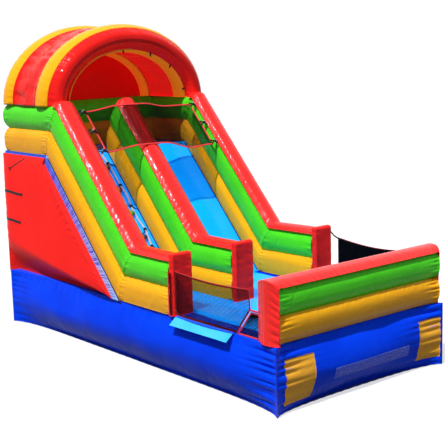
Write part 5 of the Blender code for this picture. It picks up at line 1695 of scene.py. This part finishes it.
# The deflation zip: a woven tape with interlocking teeth, and its slider
def makeZip():
    zipper = {"width": 0.040, "thick": 0.003, "toothPitch": 0.0045, "tooth": 0.0035, "toothRadius": 0.0014,
              "ends": 0.006}
    low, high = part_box("deflation_zip_tape")
    middle = (low.z + high.z) / 2
    places = np.linspace(low.x, high.x, 60)
    spots = [np.array([x, high.y - zipper["thick"] / 2, middle]) for x in places]
    tape = addRibbon("zip_tape_weave", spots, [-forwards] * len(spots), zipper["width"], zipper["thick"],
                     finish["strap"])
    standFor(tape, "zip_tape", "deflation_zip_tape")
    lists = []
    for i, x in enumerate(np.arange(low.x + zipper["ends"], high.x - zipper["ends"], zipper["toothPitch"])):
        side = zipper["tooth"] if i % 2 else -zipper["tooth"]
        lists.append([np.array([x, high.y + 0.0004, middle + side * 1.3]),
                      np.array([x, high.y + 0.0004, middle - side * 0.5])])
    cord("zip_teeth", lists, zipper["toothRadius"], 5, finish["steel"])
    paintNode("zip_slider", finish["steel"])


def paintNode(node, material):
    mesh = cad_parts[node].data
    if not mesh.materials:
        mesh.materials.append(material)
    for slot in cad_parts[node].material_slots:
        slot.material = material


def makeAnchors():
    stitch = {"apart": 0.03, "count": 8, "start": 0.006, "pitch": 0.007, "length": 0.0045, "z": 0.0036,
              "radius": 0.0006}
    for side in ("left", "right"):
        paintNode(f"rear_{side}_anchor_strap", finish["strap"])
        low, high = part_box(f"rear_{side}_anchor_strap")
        makeRing(f"rear_{side}_d_ring", f"{side}_ring")
        middle = (low.x + high.x) / 2
        lists = []
        for across in (-stitch["apart"] / 2, stitch["apart"] / 2):
            for k in range(stitch["count"]):
                y = low.y + stitch["start"] + k * stitch["pitch"]
                first = np.array([middle + across, y, stitch["z"]])
                lists.append([first, first + (0, stitch["length"], 0)])
        cord(f"rear_{side}_strap_stitches", lists, stitch["radius"], 5, finish["thread"])


# A smooth D-ring: a straight bar in the strap's eye and a bow that reaches out from it
def makeRing(node, body):
    # Shares of the rod's radius and thickness that keep the round rod about its CAD outline
    ring = {"rounder": 1.03, "inset": 1.06, "shorter": 1.05, "bowStart": 0.012}
    low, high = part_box(node)
    rod = high.z - low.z
    radius = rod / 2 * ring["rounder"]
    centre = np.array([(low.x + high.x) / 2, low.y + rod / 2 * ring["inset"], (low.z + high.z) / 2])
    half = (high.x - low.x) / 2 - rod / 2
    reach = high.y - low.y - rod * ring["shorter"] - ring["bowStart"]
    path = [centre + (x, 0, 0) for x in np.linspace(-half, half, 12)]
    for turn in np.linspace(0, math.pi, 40)[1:-1]:
        path.append(centre + (half * math.cos(turn), ring["bowStart"] + reach * math.sin(turn), 0))
    path = np.array(path)
    ahead = np.roll(path, -1, axis=0) - np.roll(path, 1, axis=0)
    ahead /= np.linalg.norm(ahead, axis=1, keepdims=True)
    up = np.array([0, 0, 1.0])
    side = np.cross(ahead, up)
    turn = np.linspace(0, 2 * math.pi, 14, endpoint=False)
    offset = side[:, None] * np.cos(turn)[None, :, None] + up * np.sin(turn)[None, :, None]
    grid = path[:, None] + offset * radius
    faces = gridFaces(len(path), len(turn), closed=True).tolist() + loopFaces(len(path), len(turn))
    piece = addPiece(node + "_steel", grid, faces, finish["steel"], body)
    standFor(piece, "ring_steel", node)


# Trim on the surfaces


# A function that finds where a ray first meets a finished piece: the place and its outward normal
def surfaceFinder(name):
    mesh = made[name].data
    tree = BVHTree.FromPolygons([v.co for v in mesh.vertices], [p.vertices for p in mesh.polygons])

    def find(origin, direction):
        spot, normal, _, _ = tree.ray_cast(Vector(origin), Vector(direction))
        if spot is None:
            return None
        normal = np.array(normal)
        if normal @ np.array(direction, float) > 0:
            normal = -normal
        return np.array(spot), normal

    return find


inFront = -3.6  # a place before the whole slide, from which its front is searched


# A welded patch that follows the tube below it. Bare: it carries no lettering
def makePatch(name, find, across, up, material, lift, steps=(30, 30)):
    columns = np.linspace(*across, steps[0])
    rows = np.linspace(*up, steps[1])
    grid = np.zeros((steps[0], steps[1], 3))
    for i, x in enumerate(columns):
        for j, z in enumerate(rows):
            grid[i, j] = find((x, inFront, z), -forwards)[0] + forwards * lift
    flat = (across[1] - across[0], up[1] - up[0])
    return closedSheet(name, grid, np.array([0, lift * 0.6, 0]), material, None, None, "slide", flat)


def makeFrontTrim():
    trim = {"labelLeft": ((-1.36, -0.87), (0.10, 0.67)), "labelRight": ((1.07, 1.485), (0.12, 0.67)),
            "labelLift": 0.004, "sleeve": ((-0.52, 0.86), (0.26, 0.40)), "sleeveLift": 0.006,
            "weldLift": 0.008, "weldWidth": 0.007, "weldThick": 0.002}
    find = surfaceFinder("base_front_tube_vinyl")
    makePatch("label_patch_left", find, *trim["labelLeft"], finish["patch"], trim["labelLift"])
    makePatch("label_patch_right", find, *trim["labelRight"], finish["patch"], trim["labelLift"])
    makePatch("document_sleeve", find, *trim["sleeve"], finish["clear"], trim["sleeveLift"], (60, 14))
    (left, right), (low, high) = trim["sleeve"]
    across, up = np.linspace(left, right, 60), np.linspace(low, high, 10)
    border = [(x, low) for x in across] + [(right, z) for z in up[1:]]
    border += [(x, high) for x in across[-2::-1]] + [(left, z) for z in up[-2:0:-1]]
    spots = [find((x, inFront, z), -forwards)[0] + forwards * trim["weldLift"] for x, z in border]
    addRibbon("document_sleeve_weld", spots, [forwards] * len(spots), trim["weldWidth"], trim["weldThick"],
              finish["weld"], loop=True)


# A band laid on a surface along the places, which are seen along the direction
def surfaceRibbon(name, find, places, direction, width, thick, material, lift=0.002):
    spots, normals = [], []
    for place in places:
        found = find(place, direction)
        if found:
            spots.append(found[0] + found[1] * lift)
            normals.append(found[1])
    return addRibbon(name, spots, normals, width, thick, material)


def makePanelTrim():
    # Each strap has its height and where its front end is, and all start at the panel's rear edge.
    # The slit's two ends and the tie's knot are places along the panel and up it
    trim = {"straps": {"panel_strap_upper": (2.15, 2.52), "panel_strap_lower": (1.70, 2.63)}, "rearY": 3.21,
            "strapWidth": 0.042, "strapWave": 0.01, "slit": ((2.87, 2.53), (2.49, 2.70)), "slitWidth": 0.022,
            "thick": 0.005, "knot": (2.88, 2.525), "tieEnds": ((0, 0.03, 0.016), (0, -0.025, -0.03)),
            "tieLift": 0.004, "tieRise": 0.014, "tieRadius": 0.010, "beside": -2.5}
    find = surfaceFinder("side_panel_left_vinyl")
    for name, (z, front) in trim["straps"].items():
        places = [(trim["beside"], y, z + trim["strapWave"] * math.sin(y * 9))
                  for y in np.linspace(trim["rearY"], front, 26)]
        surfaceRibbon(name, find, places, -leftwards, trim["strapWidth"], trim["thick"], finish["strap"])
    # A black band laid along the slit: painted shade of its dark opening
    places = [(trim["beside"], y, z) for y, z in np.linspace(*trim["slit"], 16)]
    surfaceRibbon("panel_slit_shade", find, places, -leftwards, trim["slitWidth"], trim["thick"], finish["strap"])
    spot, normal = find((trim["beside"], *trim["knot"]), -leftwards)
    first, last = [spot + normal * trim["tieLift"] + end for end in trim["tieEnds"]]
    tie = [first, spot + normal * trim["tieRise"], last]
    cord("panel_slit_tie", [tie], trim["tieRadius"], 6, finish["strap"])


# Small tie tabs on the seam inside the front ring, and a thin piping on the ring's inner edge
def makeHoodTrim():
    trim = {"tabs": (93.5, 66, 41.5, 10.5), "tabWidth": 0.03, "tabThick": 0.008, "tabRoot": 0.02,
            "tabReach": 0.055, "tabAhead": 0.01, "pipingFrom": 88, "pipingTo": 178, "pipingRadius": 0.009,
            "pipingBack": 0.055, "pipingOut": 0.004}
    seam = hood["frontY"] + hood["red"]
    innerX = lines["outerX"] - hood["thick"]
    innerZ = hood["height"] - hood["thick"]
    for number, degrees in enumerate(trim["tabs"]):
        angle = math.radians(degrees)
        inward = -np.array([math.cos(angle) / innerX, 0, math.sin(angle) / innerZ])
        inward /= np.linalg.norm(inward)
        root = np.array([innerX * math.cos(angle), seam - trim["tabAhead"],
                         railTop + innerZ * math.sin(angle)])
        spots = [root - inward * trim["tabRoot"], root + inward * trim["tabRoot"],
                 root + inward * trim["tabReach"] + forwards * 2 * trim["tabAhead"]]
        addRibbon(f"hood_tie_tab_{number + 1}", spots, [forwards] * 3, trim["tabWidth"], trim["tabThick"],
                  finish["strap"])
    arc = []
    pipingX, pipingZ = innerX + trim["pipingOut"], innerZ + trim["pipingOut"]
    for angle in np.linspace(math.radians(trim["pipingFrom"]), math.radians(trim["pipingTo"]), 50):
        arc.append(np.array([pipingX * math.cos(angle), hood["frontY"] + trim["pipingBack"],
                             railTop + pipingZ * math.sin(angle)]))
    cord("hood_inner_piping", [arc], trim["pipingRadius"], 8, finish["orange"])


makeStage()
print("stage and camera")
makeBase()
makeGroundSheet()
print("base")
makeBeds()
makeLaneSheets()
print("beds and lanes")
makePanels()
print("panels")
makeWalls()
makeRails()
print("walls and rails")
makeHood()
print("hood")
makeBumper()
print("bumper")
makeTopNet()
makeLandingNets()
print("nets")
makeRope()
makeHolds()
print("rope and holds")
makeFlap()
makeSill()
makeSleeve()
makeZip()
makeAnchors()
print("flap and rear fittings")
makeFrontTrim()
makePanelTrim()
makeHoodTrim()
print("trim")
